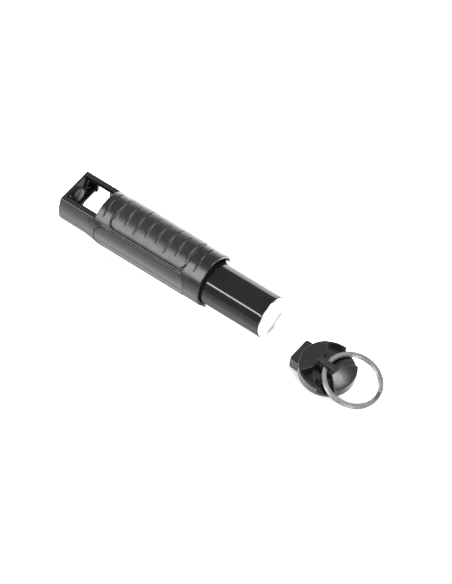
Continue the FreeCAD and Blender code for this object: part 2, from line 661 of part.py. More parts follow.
bow_tie = doc.addObject("Sketcher::SketchObject", "BowTie")
constrain(bow_tie, [
    ("-Dims.channel_half", "-Dims.straight_lug_side"),
    ("-Dims.mouth_lug_side", "-Dims.channel_end"),
    ("Dims.mouth_ring_side", "-Dims.channel_end"),
    ("Dims.channel_half", "-Dims.straight_ring_side"),
    ("Dims.channel_half", "Dims.straight_ring_side"),
    ("Dims.mouth_ring_side", "Dims.channel_end"),
    ("-Dims.mouth_lug_side", "Dims.channel_end"),
    ("-Dims.channel_half", "Dims.straight_lug_side"),
])
bow_tie.setExpression("Placement.Base.z", "-Dims.channel_depth")
channel = doc.addObject("Part::Extrusion", "Channel")
channel.Base = bow_tie
channel.DirMode = "Custom"
channel.Dir = Z_AXIS
channel.Solid = True
channel.setExpression("LengthFwd", "Dims.channel_depth + 2 * Dims.dome_rise")


def bar_block(name):
    """The bar that bridges the channel, with its two built-in ends."""
    return box(name, ("-Dims.bar_half", "-Dims.bar_width / 2", "Dims.bar_low"),
               ("2 * Dims.bar_half", "Dims.bar_width", "Dims.bar_high - Dims.bar_low"))


lip_wall = cut(
    "LipWall",
    rod("LipOutside", Z_AXIS, "Dims.cap_radius", "Dims.cap_skirt - Dims.lip_top",
        ("0", "0", "-Dims.cap_skirt")),
    rod("LipInside", Z_AXIS, "Dims.lip_inner", "Dims.cap_skirt - Dims.lip_top",
        ("0", "0", "-Dims.cap_skirt")))
near_sector = box(
    "NearSector", ("-Dims.lip_lug_end", "-Dims.cap_radius", "-Dims.cap_skirt"),
    ("Dims.lip_lug_end + Dims.lip_ring_end", "Dims.cap_radius", "Dims.cap_skirt"))
far_sector = box(
    "FarSector", ("-Dims.lip_lug_end", "0", "-Dims.cap_skirt"),
    ("Dims.lip_lug_end + Dims.lip_far_end", "Dims.cap_radius", "Dims.cap_skirt"))
lips = common("Lips", lip_wall, fuse("LipSectors", near_sector, far_sector))
cap_channelled = cut("CapChannelled", fuse("CapWithLug", cap_domed, lug), channel)
cap_cover = cut("CapCover", fuse("CapWithLips", cap_channelled, lips), bar_block("BarSockets"))
finish(cap_cover, "cap_cover", CAP)
doc.recompute()
bar_rounded = doc.addObject("Part::Fillet", "KeyBar")
bar_rounded.Base = bar_block("BarBlock")
doc.recompute()
BAR_ROUND = 0.35
bar_edges = []
for number, edge in enumerate(bar_rounded.Base.Shape.Edges, 1):
    lengthwise = abs(edge.tangentAt(edge.FirstParameter).x) > 0.99
    if lengthwise and edge.CenterOfMass.z < size("bar_low") + 1e-3:
        bar_edges.append((number, BAR_ROUND, BAR_ROUND))
bar_rounded.Edges = bar_edges
finish(bar_rounded, "key_bar", CAP)

plug_ring = turned("PlugRing", [
    ("0", "-Dims.plug_floor"),
    ("Dims.plug_bore", "-Dims.plug_floor"),
    ("Dims.plug_bore", "-Dims.plug_bottom"),
    ("Dims.plug_radius", "-Dims.plug_bottom"),
    ("Dims.plug_radius", "-Dims.cap_skirt"),
    ("0", "-Dims.cap_skirt"),
], "V_Axis")
leg_wall = cut(
    "LegWall",
    rod("LegOutside", Z_AXIS, "Dims.plug_radius", "Dims.leg_bottom - Dims.plug_floor",
        ("0", "0", "-Dims.leg_bottom")),
    rod("LegInside", Z_AXIS, "Dims.leg_inner", "Dims.leg_bottom - Dims.plug_floor",
        ("0", "0", "-Dims.leg_bottom")))
leg_sector = box("LegSector", ("-Dims.cap_radius", "-Dims.leg_width / 2", "-Dims.leg_bottom"),
                 ("Dims.cap_radius", "Dims.leg_width", "Dims.leg_bottom"))
latch_leg = common("LatchLeg", leg_wall, leg_sector)
finish(fuse("BayonetPlug", plug_ring, latch_leg), "bayonet_plug", CAP)

finish(turned("CapSeal", [
    ("Dims.plug_radius", "-Dims.seal_bottom"),
    ("Dims.seal_radius", "-Dims.seal_bottom"),
    ("Dims.seal_radius", "-Dims.cap_skirt"),
    ("Dims.plug_radius", "-Dims.cap_skirt"),
], "V_Axis"), "cap_seal", CAP)

finish(turned("CanCushion", [
    ("0", "-Dims.cushion_bottom"),
    ("Dims.plug_bore", "-Dims.cushion_bottom"),
    ("Dims.plug_bore", "-Dims.plug_floor"),
    ("0", "-Dims.plug_floor"),
], "V_Axis"), "can_cushion", CAP)


# ---- Key ring: two coils of wire, modelled about the ring's middle ----

INSIDE = "Dims.ring_radius - Dims.ring_half"
OUTSIDE = "Dims.ring_radius + Dims.ring_half"
finish(turned("SplitRing", [
    (INSIDE, "Dims.ring_bevel - Dims.coil_half"),
    (INSIDE + " + Dims.ring_bevel", "-Dims.coil_half"),
    (OUTSIDE + " - Dims.ring_bevel", "-Dims.coil_half"),
    (OUTSIDE, "Dims.ring_bevel - Dims.coil_half"),
    (OUTSIDE + " - Dims.coil_gap", "0"),
    (OUTSIDE, "Dims.coil_half - Dims.ring_bevel"),
    (OUTSIDE + " - Dims.ring_bevel", "Dims.coil_half"),
    (INSIDE + " + Dims.ring_bevel", "Dims.coil_half"),
    (INSIDE, "Dims.coil_half - Dims.ring_bevel"),
    (INSIDE + " + Dims.coil_gap", "0"),
], "V_Axis"), "split_ring", ring_frame())


# ---- Check and write ----

doc.recompute()
for obj in doc.Objects:
    if "Invalid" in obj.State or "Error" in obj.State:
        raise RuntimeError("%s failed: %s" % (obj.Name, obj.State))
for node in nodes:
    if node.Shape.isNull() or not node.Shape.isValid() or not node.Shape.Solids:
        raise RuntimeError("%s has no valid solid" % node.Label)

os.makedirs("parts", exist_ok=True)
whole = FreeCAD.BoundBox()
for node in nodes:
    node.Shape.exportStep(os.path.join("parts", node.Label + ".step"))
    whole.add(node.Shape.optimalBoundingBox(False, False))
    print("%-20s solids %d  volume %9.2f mm3" % (
        node.Label, len(node.Shape.Solids), node.Shape.Volume))
print("pieces %d" % len(nodes))
print("middle of the plan %.3f %.3f, lowest point %.3f" % (
    whole.Center.x, whole.Center.y, whole.ZMin))
print("overall %.2f x %.2f x %.2f mm" % (whole.XLength, whole.YLength, whole.ZLength))
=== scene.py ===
import json
import math

import bmesh
import bpy
import numpy as np
from mathutils import Matrix, Vector


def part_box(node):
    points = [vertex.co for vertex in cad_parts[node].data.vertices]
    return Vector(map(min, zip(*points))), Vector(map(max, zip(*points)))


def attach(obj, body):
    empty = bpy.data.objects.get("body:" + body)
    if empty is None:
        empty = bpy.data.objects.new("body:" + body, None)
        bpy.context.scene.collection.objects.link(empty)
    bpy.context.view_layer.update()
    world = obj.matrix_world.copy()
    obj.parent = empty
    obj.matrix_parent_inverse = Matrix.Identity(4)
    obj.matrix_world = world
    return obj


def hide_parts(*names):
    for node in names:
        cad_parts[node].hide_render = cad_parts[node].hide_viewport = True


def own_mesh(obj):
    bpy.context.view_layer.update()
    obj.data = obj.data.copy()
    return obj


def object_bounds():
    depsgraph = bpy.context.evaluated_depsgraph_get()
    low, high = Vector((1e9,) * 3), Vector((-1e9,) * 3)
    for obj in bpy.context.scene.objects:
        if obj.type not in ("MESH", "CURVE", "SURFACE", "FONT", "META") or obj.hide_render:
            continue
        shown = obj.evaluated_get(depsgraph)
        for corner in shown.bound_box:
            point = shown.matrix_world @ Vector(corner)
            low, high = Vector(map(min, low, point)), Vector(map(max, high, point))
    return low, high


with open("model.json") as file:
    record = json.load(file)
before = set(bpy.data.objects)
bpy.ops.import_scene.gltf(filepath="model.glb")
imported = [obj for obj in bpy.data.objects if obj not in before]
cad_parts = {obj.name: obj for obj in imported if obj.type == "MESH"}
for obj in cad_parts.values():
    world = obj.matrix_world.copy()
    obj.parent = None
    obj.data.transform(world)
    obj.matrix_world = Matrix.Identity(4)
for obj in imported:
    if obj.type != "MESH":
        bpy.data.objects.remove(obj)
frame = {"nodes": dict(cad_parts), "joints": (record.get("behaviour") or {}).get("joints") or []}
CAD_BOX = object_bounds()
MM = 0.001
WELD = 2e-6  # metres between points that become one
AXIS_RADIUS = 1e-6  # millimetres from the axis that count as on it


# ---- Where the groups are, in millimetres of the row frame ----

def corners(node):
    """Lowest and highest corner of a CAD node, in millimetres."""
    low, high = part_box(node)
    return low / MM, high / MM


def middle(node):
    """Middle of a CAD node's box, in millimetres."""
    low, high = corners(node)
    return (low + high) / 2


def joint(name):
    """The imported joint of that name."""
    return next(item for item in frame["joints"] if item["name"] == name)


SHELL_LOW, SHELL_HIGH = corners("housing_shell")
GRIP = (SHELL_HIGH.y - SHELL_LOW.y) / 2
HOUSING_ORIGIN = Vector((SHELL_LOW.x, middle("housing_shell").y, SHELL_LOW.z + GRIP))
HOUSING = Matrix.Translation(HOUSING_ORIGIN)

CAN_LOW, CAN_HIGH = corners("can_body")
CAN_ORIGIN = Vector((CAN_HIGH.x, middle("can_body").y, middle("can_body").z))
CAN = Matrix.Translation(CAN_ORIGIN) @ Matrix.Rotation(math.pi, 4, "Z")

CAP_TILT = math.radians(7)
SEAL_BELOW_RIM = 5.55
CAP_TURN = Matrix.Rotation(CAP_TILT, 4, "Y")
CAP_ORIGIN = middle("cap_seal") + CAP_TURN @ Vector((0, 0, SEAL_BELOW_RIM))
CAP = Matrix.Translation(CAP_ORIGIN) @ CAP_TURN

RING_MIDDLE = middle("split_ring")
RING_AXIS = Vector(joint("ring_swing")["axis"])
RING_YAW = math.atan2(RING_AXIS.x, -RING_AXIS.y)
RING_PIVOT = Vector(joint("ring_swing")["pos_m"]) / MM
RING_FALL = RING_PIVOT.z - RING_MIDDLE.z
RING_REACH = (RING_MIDDLE - RING_PIVOT).length
RING_TURN = (Matrix.Rotation(RING_YAW, 4, "Z")
             @ Matrix.Rotation(math.asin(RING_FALL / RING_REACH), 4, "Y"))
RING = Matrix.Translation(RING_MIDDLE) @ RING_TURN


# ---- Mesh helpers ----

def smooth(low, high, value):
    """Smooth step from 0 at low to 1 at high."""
    share = np.clip((value - low) / (high - low), 0, 1)
    return share * share * (3 - 2 * share)


def stations(*spans):
    """Sorted distinct places from spans of (start, end, spacing)."""
    places = []
    for start, end, spacing in spans:
        places.extend(np.linspace(start, end, max(2, int(round((end - start) / spacing)) + 1)))
    return np.unique(np.round(places, 4))


def added(name, data):
    """A new object in the scene."""
    item = bpy.data.objects.new(name, data)
    bpy.context.scene.collection.objects.link(item)
    return item


def piece_from(name, points, faces, place, body, slot, materials, *nodes):
    """A new piece from points in millimetres, placed, riding on its body and standing for its CAD nodes."""
    mesh = bpy.data.meshes.new(name)
    moved = [(place @ Vector(point)) * MM for point in points]
    mesh.from_pydata(moved, [], faces)
    mesh.update()
    clean = bmesh.new()
    clean.from_mesh(mesh)
    bmesh.ops.remove_doubles(clean, verts=clean.verts, dist=WELD)
    loose = [vert for vert in clean.verts if not vert.link_faces]
    bmesh.ops.delete(clean, geom=loose, context="VERTS")
    bmesh.ops.recalc_face_normals(clean, faces=clean.faces)
    clean.to_mesh(mesh)
    clean.free()
    mesh.polygons.foreach_set("use_smooth", [True] * len(mesh.polygons))
    piece = added(name, mesh)
    for material in materials:
        mesh.materials.append(material)
    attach(piece, body)
    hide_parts(*nodes)
    return piece


def soften(piece, width, angle=35, segments=2):
    """Rounds the piece's sharp edges and shades it by face area."""
    bevel = piece.modifiers.new("Rounding", "BEVEL")
    bevel.width = width * MM
    bevel.segments = segments
    bevel.limit_method = "ANGLE"
    bevel.angle_limit = math.radians(angle)
    weighted = piece.modifiers.new("Shading", "WEIGHTED_NORMAL")
    weighted.keep_sharp = True
    return piece


def shade_by_angle(piece, angle=40):
    """Keeps edges sharper than the angle crisp."""
    mesh = piece.data
    clean = bmesh.new()
    clean.from_mesh(mesh)
    for edge in clean.edges:
        if len(edge.link_faces) == 2:
            edge.smooth = edge.calc_face_angle() < math.radians(angle)
    clean.to_mesh(mesh)
    clean.free()


def shell_faces(present, wrap, count):
    """Faces of two sheets with the same grid, joined by walls wherever a cell is missing."""
    rows, columns = present.shape
    width = columns if wrap else columns + 1

    def outer(row, column):
        return row * width + column % width

    def inner(row, column):
        return count + outer(row, column)

    def missing(row, column):
        if wrap:
            column %= columns
        elif not 0 <= column < columns:
            return True
        return not 0 <= row < rows or not present[row, column]

    faces = []
    for row, column in zip(*np.nonzero(present)):
        a, b = (row, column), (row + 1, column)
        c, d = (row + 1, column + 1), (row, column + 1)
        faces.append([outer(*a), outer(*b), outer(*c), outer(*d)])
        faces.append([inner(*a), inner(*d), inner(*c), inner(*b)])
        for (first, second), beyond in (
                ((b, c), (row + 1, column)), ((d, a), (row - 1, column)),
                ((a, b), (row, column - 1)), ((c, d), (row, column + 1))):
            if missing(*beyond):
                faces.append([outer(*second), outer(*first), inner(*first), inner(*second)])
    return faces


def lathe(profile, segments, around="X"):
    """Points and faces of a closed outline of (along, radius) turned about an axis."""
    points, faces = [], []
    count = len(profile)
    for step in range(segments):
        angle = 2 * math.pi * step / segments
        for along, radius in profile:
            side, up = radius * math.sin(angle), radius * math.cos(angle)
            points.append((along, side, up) if around == "X" else (up, side, along))
    for step in range(segments):
        start, following = step * count, (step + 1) % segments * count
        for index in range(count):
            other = (index + 1) % count
            if profile[index][1] < AXIS_RADIUS and profile[other][1] < AXIS_RADIUS:
                continue
            faces.append([start + index, start + other, following + other, following + index])
    return points, faces


def arc(centre, radius, start, end, steps):
    """Points of an arc in an outline, angles in degrees from the first coordinate's axis."""
    angles = np.radians(np.linspace(start, end, steps + 1))
    return [(centre[0] + radius * math.cos(a), centre[1] + radius * math.sin(a)) for a in angles]


def sleeve(steps, sides):
    """Quads that join each loop of points to the next one."""
    faces = []
    for step in range(steps):
        for side in range(sides):
            here, beside = step * sides + side, step * sides + (side + 1) % sides
            faces.append([here, beside, beside + sides, here + sides])
    return faces


def capped_sleeve(steps, sides):
    """The same quads with a face over both ends."""
    last = steps * sides
    return sleeve(steps, sides) + [list(range(sides)), list(range(last, last + sides))]


def prism(outline, low, high):
    """Points and faces of an outline raised from one height to another."""
    count = len(outline)
    points = [(x, y, low) for x, y in outline] + [(x, y, high) for x, y in outline]
    caps = [list(range(count))[::-1], list(range(count, 2 * count))]
    return points, caps + sleeve(1, count)


def joined(*parts):
    """Several (points, faces) as one."""
    points, faces = [], []
    for part_points, part_faces in parts:
        start = len(points)
        points.extend(part_points)
        faces.extend([[start + index for index in face] for face in part_faces])
    return points, faces


def turned(part, matrix):
    """A part's points moved by a matrix."""
    points, faces = part
    return [tuple(matrix @ Vector(point)) for point in points], faces


# ---- Materials ----

def shader(name, colour, roughness, metallic=0.0, level=0.5):
    """A material and its principled shader, which holds the even values."""
    material = bpy.data.materials.new(name)
    material.use_nodes = True
    principled = material.node_tree.nodes["Principled BSDF"]
    for socket, value in (("Base Color", (*colour, 1)), ("Roughness", roughness),
                          ("Metallic", metallic), ("Specular IOR Level", level)):
        principled.inputs[socket].default_value = value
    return material, principled


EVEN = (1, 1, 1)
NOISE_REACH = (0.3, 0.7)  # the noise's usual range, which the gloss is spread over
TONE_REACH = (0.35, 0.65)  # and the part over which one tone turns into the other
TONE_DETAIL, GLOSS_DETAIL, GRAIN_DETAIL = 4, 3, 2
MOULDED_TONES, MOULDED_GLOSS = 9, 5  # size of the drift, in millimetres
METAL_TONES, METAL_GLOSS = 3, 1.5


def map_range(tree, value, limits, interpolation="LINEAR"):
    """Maps a value between limits (from, from, to, to), or from the first two onto 0 to 1."""
    node = tree.nodes.new("ShaderNodeMapRange")
    node.interpolation_type = interpolation
    for name, limit in zip(("From Min", "From Max", "To Min", "To Max"), limits):
        node.inputs[name].default_value = limit
    tree.links.new(value, node.inputs["Value"])
    return node.outputs["Result"]


def noise(tree, size, detail, squeeze=EVEN):
    """Noise in the object's own coordinates, with its size in millimetres."""
    place = tree.nodes.new("ShaderNodeTexCoord")
    mapping = tree.nodes.new("ShaderNodeMapping")
    mapping.inputs["Scale"].default_value = squeeze
    tree.links.new(place.outputs["Object"], mapping.inputs["Vector"])
    node = tree.nodes.new("ShaderNodeTexNoise")
    node.inputs["Scale"].default_value = 1 / (size * MM)
    node.inputs["Detail"].default_value = detail
    tree.links.new(mapping.outputs["Vector"], node.inputs["Vector"])
    return node.outputs["Fac"]


def mottle(material, principled, colour, other, size):
    """Lets the colour drift between two near tones."""
    tree = material.node_tree
    ramp = tree.nodes.new("ShaderNodeValToRGB")
    for element, position, tone in zip(ramp.color_ramp.elements, TONE_REACH, (colour, other)):
        element.position = position
        element.color = (*tone, 1)
    tree.links.new(noise(tree, size, TONE_DETAIL), ramp.inputs["Fac"])
    tree.links.new(ramp.outputs["Color"], principled.inputs["Base Color"])


def vary_roughness(material, principled, low, high, size, squeeze=EVEN):
    """Lets the roughness drift, as handling and the mould's polish leave it."""
    tree = material.node_tree
    drift = map_range(tree, noise(tree, size, GLOSS_DETAIL, squeeze), (*NOISE_REACH, low, high))
    tree.links.new(drift, principled.inputs["Roughness"])


def grain(material, principled, size, depth, squeeze=EVEN):
    """A fine raised texture, with its size and depth in millimetres."""
    tree = material.node_tree
    bump = tree.nodes.new("ShaderNodeBump")
    bump.inputs["Distance"].default_value = depth * MM
    tree.links.new(noise(tree, size, GRAIN_DETAIL, squeeze), bump.inputs["Height"])
    tree.links.new(bump.outputs["Normal"], principled.inputs["Normal"])


def moulded(name, colour, other, smoothest, roughest, grain_size, grain_depth, level=0.5):
    """Moulded plastic: two near tones, drifting gloss and a fine mould texture."""
    material, principled = shader(name, colour, (smoothest + roughest) / 2, level=level)
    mottle(material, principled, colour, other, MOULDED_TONES)
    vary_roughness(material, principled, smoothest, roughest, MOULDED_GLOSS)
    grain(material, principled, grain_size, grain_depth)
    return material


def metal(name, colour, other, smoothest, roughest, scratch_size, scratch_depth, squeeze=EVEN):
    """Worked metal: two near tones and fine scratches, which a squeeze draws out one way."""
    material, principled = shader(name, colour, (smoothest + roughest) / 2, metallic=1.0)
    mottle(material, principled, colour, other, METAL_TONES)
    vary_roughness(material, principled, smoothest, roughest, METAL_GLOSS, squeeze)
    grain(material, principled, scratch_size, scratch_depth, squeeze)
    return material


BLACK = (0.007, 0.007, 0.0075)
BLACK_HOUSING = moulded("housing_plastic", BLACK, (0.010, 0.010, 0.0105),
                        0.22, 0.30, 0.5, 0.018, level=0.62)
BLACK_INSIDE = moulded("cavity_plastic", (0.009, 0.009, 0.009), (0.016, 0.016, 0.015),
                       0.50, 0.62, 1.2, 0.06, level=0.30)
BLACK_PAD = moulded("grip_plastic", BLACK, (0.011, 0.011, 0.0115),
                    0.29, 0.37, 0.55, 0.03, level=0.66)
BLACK_PANEL = moulded("panel_plastic", BLACK, (0.009, 0.009, 0.0095),
                      0.14, 0.20, 0.9, 0.003, level=0.75)
BLACK_CAP = moulded("cap_plastic", BLACK, (0.010, 0.010, 0.0105),
                    0.20, 0.28, 0.45, 0.010, level=0.75)
BLACK_PLUG = moulded("plug_plastic", (0.008, 0.008, 0.008), (0.012, 0.012, 0.012),
                     0.34, 0.44, 0.4, 0.006)
GREY_BOSS = moulded("boss_plastic", (0.030, 0.031, 0.026), (0.062, 0.063, 0.053),
                    0.34, 0.50, 1.6, 0.10)
BUTTON = moulded("button_plastic", (0.018, 0.018, 0.018), (0.026, 0.026, 0.026),
                 0.30, 0.42, 0.4, 0.006)
CLEAR_PLASTIC = moulded("valve_plastic", (0.62, 0.61, 0.58), (0.70, 0.69, 0.66),
                        0.25, 0.35, 0.5, 0.004)
TUBE = moulded("tube_plastic", (0.70, 0.70, 0.68), (0.78, 0.78, 0.76), 0.22, 0.32, 0.6, 0.003)
RUBBER = moulded("gasket_rubber", (0.020, 0.020, 0.020), (0.030, 0.030, 0.030),
                 0.55, 0.7, 0.25, 0.010)
FOAM = moulded("cushion_foam", (0.045, 0.045, 0.047), (0.065, 0.065, 0.067),
               0.85, 0.95, 0.5, 0.08, level=0.2)
LACQUER = moulded("can_lacquer", (0.010, 0.010, 0.011), (0.013, 0.013, 0.014),
                  0.05, 0.09, 1.6, 0.001, level=0.28)
ALUMINIUM = metal("can_metal", (0.95, 0.95, 0.955), (0.91, 0.91, 0.915), 0.26, 0.36,
                  0.25, 0.004, (0.2, 1, 1))
FERRULE = metal("ferrule_metal", (0.72, 0.70, 0.64), (0.66, 0.64, 0.58), 0.20, 0.30,
                0.3, 0.003, (0.2, 1, 1))
STEEL = metal("ring_steel", (0.235, 0.227, 0.213), (0.28, 0.27, 0.255), 0.28, 0.38,
              0.35, 0.006)
SPRING = metal("spring_steel", (0.55, 0.55, 0.56), (0.62, 0.62, 0.63), 0.18, 0.28,
               0.3, 0.003)
BRASS = metal("nozzle_brass", (0.72, 0.52, 0.24), (0.78, 0.58, 0.28), 0.2, 0.3,
              0.3, 0.003)


# ---- Housing, in millimetres from its head end: X along, Y across, Z up ----

NUB_LENGTH = 2.0
LENGTH = SHELL_HIGH.x - SHELL_LOW.x - NUB_LENGTH
HEAD_LENGTH = 20.3
HEAD_UNDER = 12.5
FLAT = 8.8
SIDE_CENTRE = 6.2
SIDE_ROUND = 18.7
SHOULDER_SOFT = 0.22
END_WALL = 1.2
HEAD_BORE = 11.2
BORE = 12.2
SHELF_END = 4.6
SHELF_DROP = 2.4
SHELF_THICKNESS = 1.6
WINDOW_HALF = 7.8
RAIL_FOOT = 6.3
PORT_SPAN = (5.4, 12.6)
PORT_EDGE = 4.3
SLOT_START = LENGTH - 2.5
SLOT_HALF = 9.4
SEAT = 12.72
PAD_SPAN = (28.5, 73.0)
PAD_HALF = 10.1
PAD_CORNER = 3.0
PAD_CROWN = 13.8
PANEL_SPAN = (22.0, 75.0)
PANEL_HALF = 7.6
PANEL_CORNER = 5.0
PANEL_FACE = 13.12
GROOVE_START = 23.9
GROOVE_PITCH = 6.0
GROOVES = 10
GROOVE_ROUND = 0.75
GROOVE_DEPTH = 0.6
LONG_DROP = 3.07
SHORT_DROP = 6.37
GROOVE_LEAST = 0.1
GROOVE_ROWS = (-1.3, -1.08, -0.92, -0.6, -0.3, 0, 0.3, 0.6, 0.92, 1.08, 1.3)
MOUTH_ROUND, HEAD_ROUND, CROWN_ROUND = 0.5, 0.5, 0.4
SIDE_BLEND = (50, 66)  # degrees over which the crown's step gives way to the side's blend
HEAD_BLEND = (13, 25)  # along the side, where the head turns into the grip
SEAT_EDGE = (-0.02, 0.2)  # distance over which the skin sinks into an inlay's seat
LIP_HEIGHT, LIP_MIDDLE, LIP_WIDTH = 0.10, 0.35, 0.22  # the raised lip round the seat
LONG_END, SHORT_END, END_SPREAD = math.radians(40), math.radians(30), 0.15

WINDOW_ANGLE = math.degrees(math.atan2(WINDOW_HALF, FLAT))
RAIL_OUTER = math.degrees(math.atan2(
    math.sqrt(SIDE_ROUND ** 2 - RAIL_FOOT ** 2) - SIDE_CENTRE, RAIL_FOOT))
RAIL_INNER = math.degrees(math.acos(RAIL_FOOT / HEAD_BORE))
UNDER_SHELF = SHELF_DROP + SHELF_THICKNESS
SHELF_OUTER = math.degrees(math.acos(-UNDER_SHELF / HEAD_UNDER))
SHELF_INNER = math.degrees(math.acos(-UNDER_SHELF / HEAD_BORE))
FOOT_OUTER = 180 - math.degrees(math.asin(PORT_EDGE / HEAD_UNDER))
FOOT_INNER = 180 - math.degrees(math.asin(PORT_EDGE / HEAD_BORE))


def rounded_distance(along, across, span, half, corner):
    """Distance outside (above 0) or inside (below 0) a rounded rectangle."""
    centre, reach = (span[0] + span[1]) / 2, (span[1] - span[0]) / 2
    first = np.abs(along - centre) - reach + corner
    second = np.abs(across) - half + corner
    outside = np.hypot(np.maximum(first, 0), np.maximum(second, 0))
    return outside + np.minimum(np.maximum(first, second), 0) - corner


def quarter(distance, radius):
    """How far a rounded edge has fallen at a distance in from it."""
    reach = np.clip(radius - distance, 0, radius)
    return radius - np.sqrt(radius ** 2 - reach ** 2)


def head_radius(angle):
    """Radius of the head's outline: a flat top, two swelling sides and a round underside."""
    across, up = np.abs(np.sin(angle)), np.cos(angle)
    flat = FLAT / np.maximum(up, 1e-3)
    side = np.sqrt(SIDE_ROUND ** 2 - (SIDE_CENTRE * up) ** 2) - SIDE_CENTRE * across
    side = np.where(up > 0, side, HEAD_UNDER)
    return -SHOULDER_SOFT * np.logaddexp(-flat / SHOULDER_SOFT, -side / SHOULDER_SOFT)


def groove_width(number, angle, host):
    """Half width of a groove at an angle, and how far its round centre stands off the surface."""
    drop = LONG_DROP if number % 3 == 0 else SHORT_DROP
    reach = host - GROOVE_DEPTH + GROOVE_ROUND + drop
    away = np.sqrt(host ** 2 + drop ** 2 + 2 * host * drop * np.cos(angle))
    stand_off = reach - away
    return np.sqrt(np.maximum(GROOVE_ROUND ** 2 - stand_off ** 2, 0)), stand_off


def groove_rows(number, angle, host, release):
    """Stations of a groove's rows, which follow its edges and spread again beyond its ends."""
    widest, _ = groove_width(number, np.zeros(1), host)
    width, _ = groove_width(number, angle, host)
    ends = LONG_END if number % 3 == 0 else SHORT_END
    width = np.maximum(width, GROOVE_LEAST)
    if release:
        width = np.maximum(width, widest * smooth(ends, ends + END_SPREAD, np.abs(angle)))
    centre = GROOVE_START + number * GROOVE_PITCH
    return [centre + share * width for share in GROOVE_ROWS]


def groove_sink(along, angle, host):
    """Depth of the grooves below the surface."""
    sink = np.zeros_like(along)
    for number in range(GROOVES):
        _, stand_off = groove_width(number, angle, host)
        offset = along - (GROOVE_START + number * GROOVE_PITCH)
        deep = np.sqrt(np.maximum(GROOVE_ROUND ** 2 - offset ** 2, 0)) - stand_off
        sink = np.maximum(sink, np.where(np.abs(offset) < GROOVE_ROUND, deep, 0))
    return sink


def shell_columns():
    """Outer and inner angles of the columns from the top, and which lie beyond the window's edge."""
    half = stations((0, 36, 2), (36, WINDOW_ANGLE, 1.1), (WINDOW_ANGLE, RAIL_OUTER, 1.0),
                    (RAIL_OUTER, 80, 1.1), (80, 80.6, 1), (80.6, 99.4, 2.2), (99.4, 100, 1),
                    (100, SHELF_OUTER, 1.1), (SHELF_OUTER, 132, 1.1), (132, FOOT_OUTER, 3),
                    (FOOT_OUTER, 180, 4))
    known_outer = [0, WINDOW_ANGLE, RAIL_OUTER, SHELF_OUTER, FOOT_OUTER, 180]
    known_inner = [0, WINDOW_ANGLE, RAIL_INNER, SHELF_INNER, FOOT_INNER, 180]
    inner = np.interp(half, known_outer, known_inner)
    split = int(np.argmin(np.abs(half - WINDOW_ANGLE)))
    half = np.insert(half, split, half[split])
    inner = np.insert(inner, split, inner[split])
    outer, inner = (np.radians(np.concatenate([-part[:0:-1], part[:-1]])) for part in (half, inner))
    at_rail = np.arange(len(half)) > split
    return outer, inner, np.concatenate([at_rail[:0:-1], at_rail[:-1]])


def head_inside(closed, outer, inner, beyond_window, head):
    """Radius and angle of the head's inner outline: the bore and the rails beside the window."""
    first, last = math.radians(WINDOW_ANGLE), math.radians(RAIL_OUTER)
    share = (np.abs(outer) - first) / (last - first)
    across = WINDOW_HALF + share * (HEAD_BORE * math.sin(math.radians(RAIL_INNER)) - WINDOW_HALF)
    rail = beyond_window & (np.abs(outer) < last - 1e-6)
    radius = np.where(rail, np.hypot(across, RAIL_FOOT), HEAD_BORE)
    angle = np.where(rail, np.sign(outer) * np.arctan2(across, RAIL_FOOT), inner)
    if closed:
        radius = np.where(beyond_window, radius, head)
        angle = np.where(beyond_window, angle, outer)
    return radius, angle


def shell_rows():
    """Rows as (kind, station or share or groove place), from the middle of the end wall outwards."""
    grooves = range(len(GROOVE_ROWS))
    parts = (
        ("wall", (0.1, 0.3, 0.5, 0.7, 0.85, 0.95)),
        ("edge", (0.0, 0.04, 0.13, 0.28, 0.5)),
        ("head", (END_WALL, 2, 3.6, PORT_SPAN[0], 7, 9, 11, PORT_SPAN[1])),
        ("head", (13.8, 15, 16.2, 17.4, 18.6, HEAD_LENGTH)),
        ("grip", [HEAD_LENGTH + x for x in (0.02, 0.06, 0.16, 0.34, 0.6)]),
        ("grip", stations((21.2, 22.5, 0.22))),
        ("groove", [(0, index) for index in grooves]),
        ("grip", stations((25.1, 32, 0.25), (32, 69, 3.7), (69, 76.6, 0.25))),
        ("groove", [(GROOVES - 1, index) for index in grooves]),
        ("grip", (79.4, 80.4, SLOT_START, 82.4, 83.1)),
        ("grip", [LENGTH - x for x in (0.5, 0.28, 0.13, 0.04, 0)]))
    return [(kind, place) for kind, places in parts for place in places]


def grip_radius(along, angle):
    """Outer radius of the housing's skin beyond the head, with its seats and grooves."""
    radius = GRIP - groove_sink(along, angle, GRIP)
    pad_gap = rounded_distance(along, GRIP * np.sin(angle), PAD_SPAN, PAD_HALF, PAD_CORNER)
    pad_gap = np.where(np.cos(angle) > 0, pad_gap, 9)
    panel_gap = rounded_distance(along, GRIP * np.cos(angle), PANEL_SPAN, PANEL_HALF, PANEL_CORNER)
    for gap in (pad_gap, panel_gap):
        radius = radius + LIP_HEIGHT * np.exp(-((gap - LIP_MIDDLE) / LIP_WIDTH) ** 2)
        radius = radius + (SEAT - radius) * (1 - smooth(*SEAT_EDGE, gap))
    return radius


def round_axis(along, radius, angle):
    """Points at a station, radius and angle from the top, the near side above 0."""
    return np.stack([along, -radius * np.sin(angle), radius * np.cos(angle)], 1)


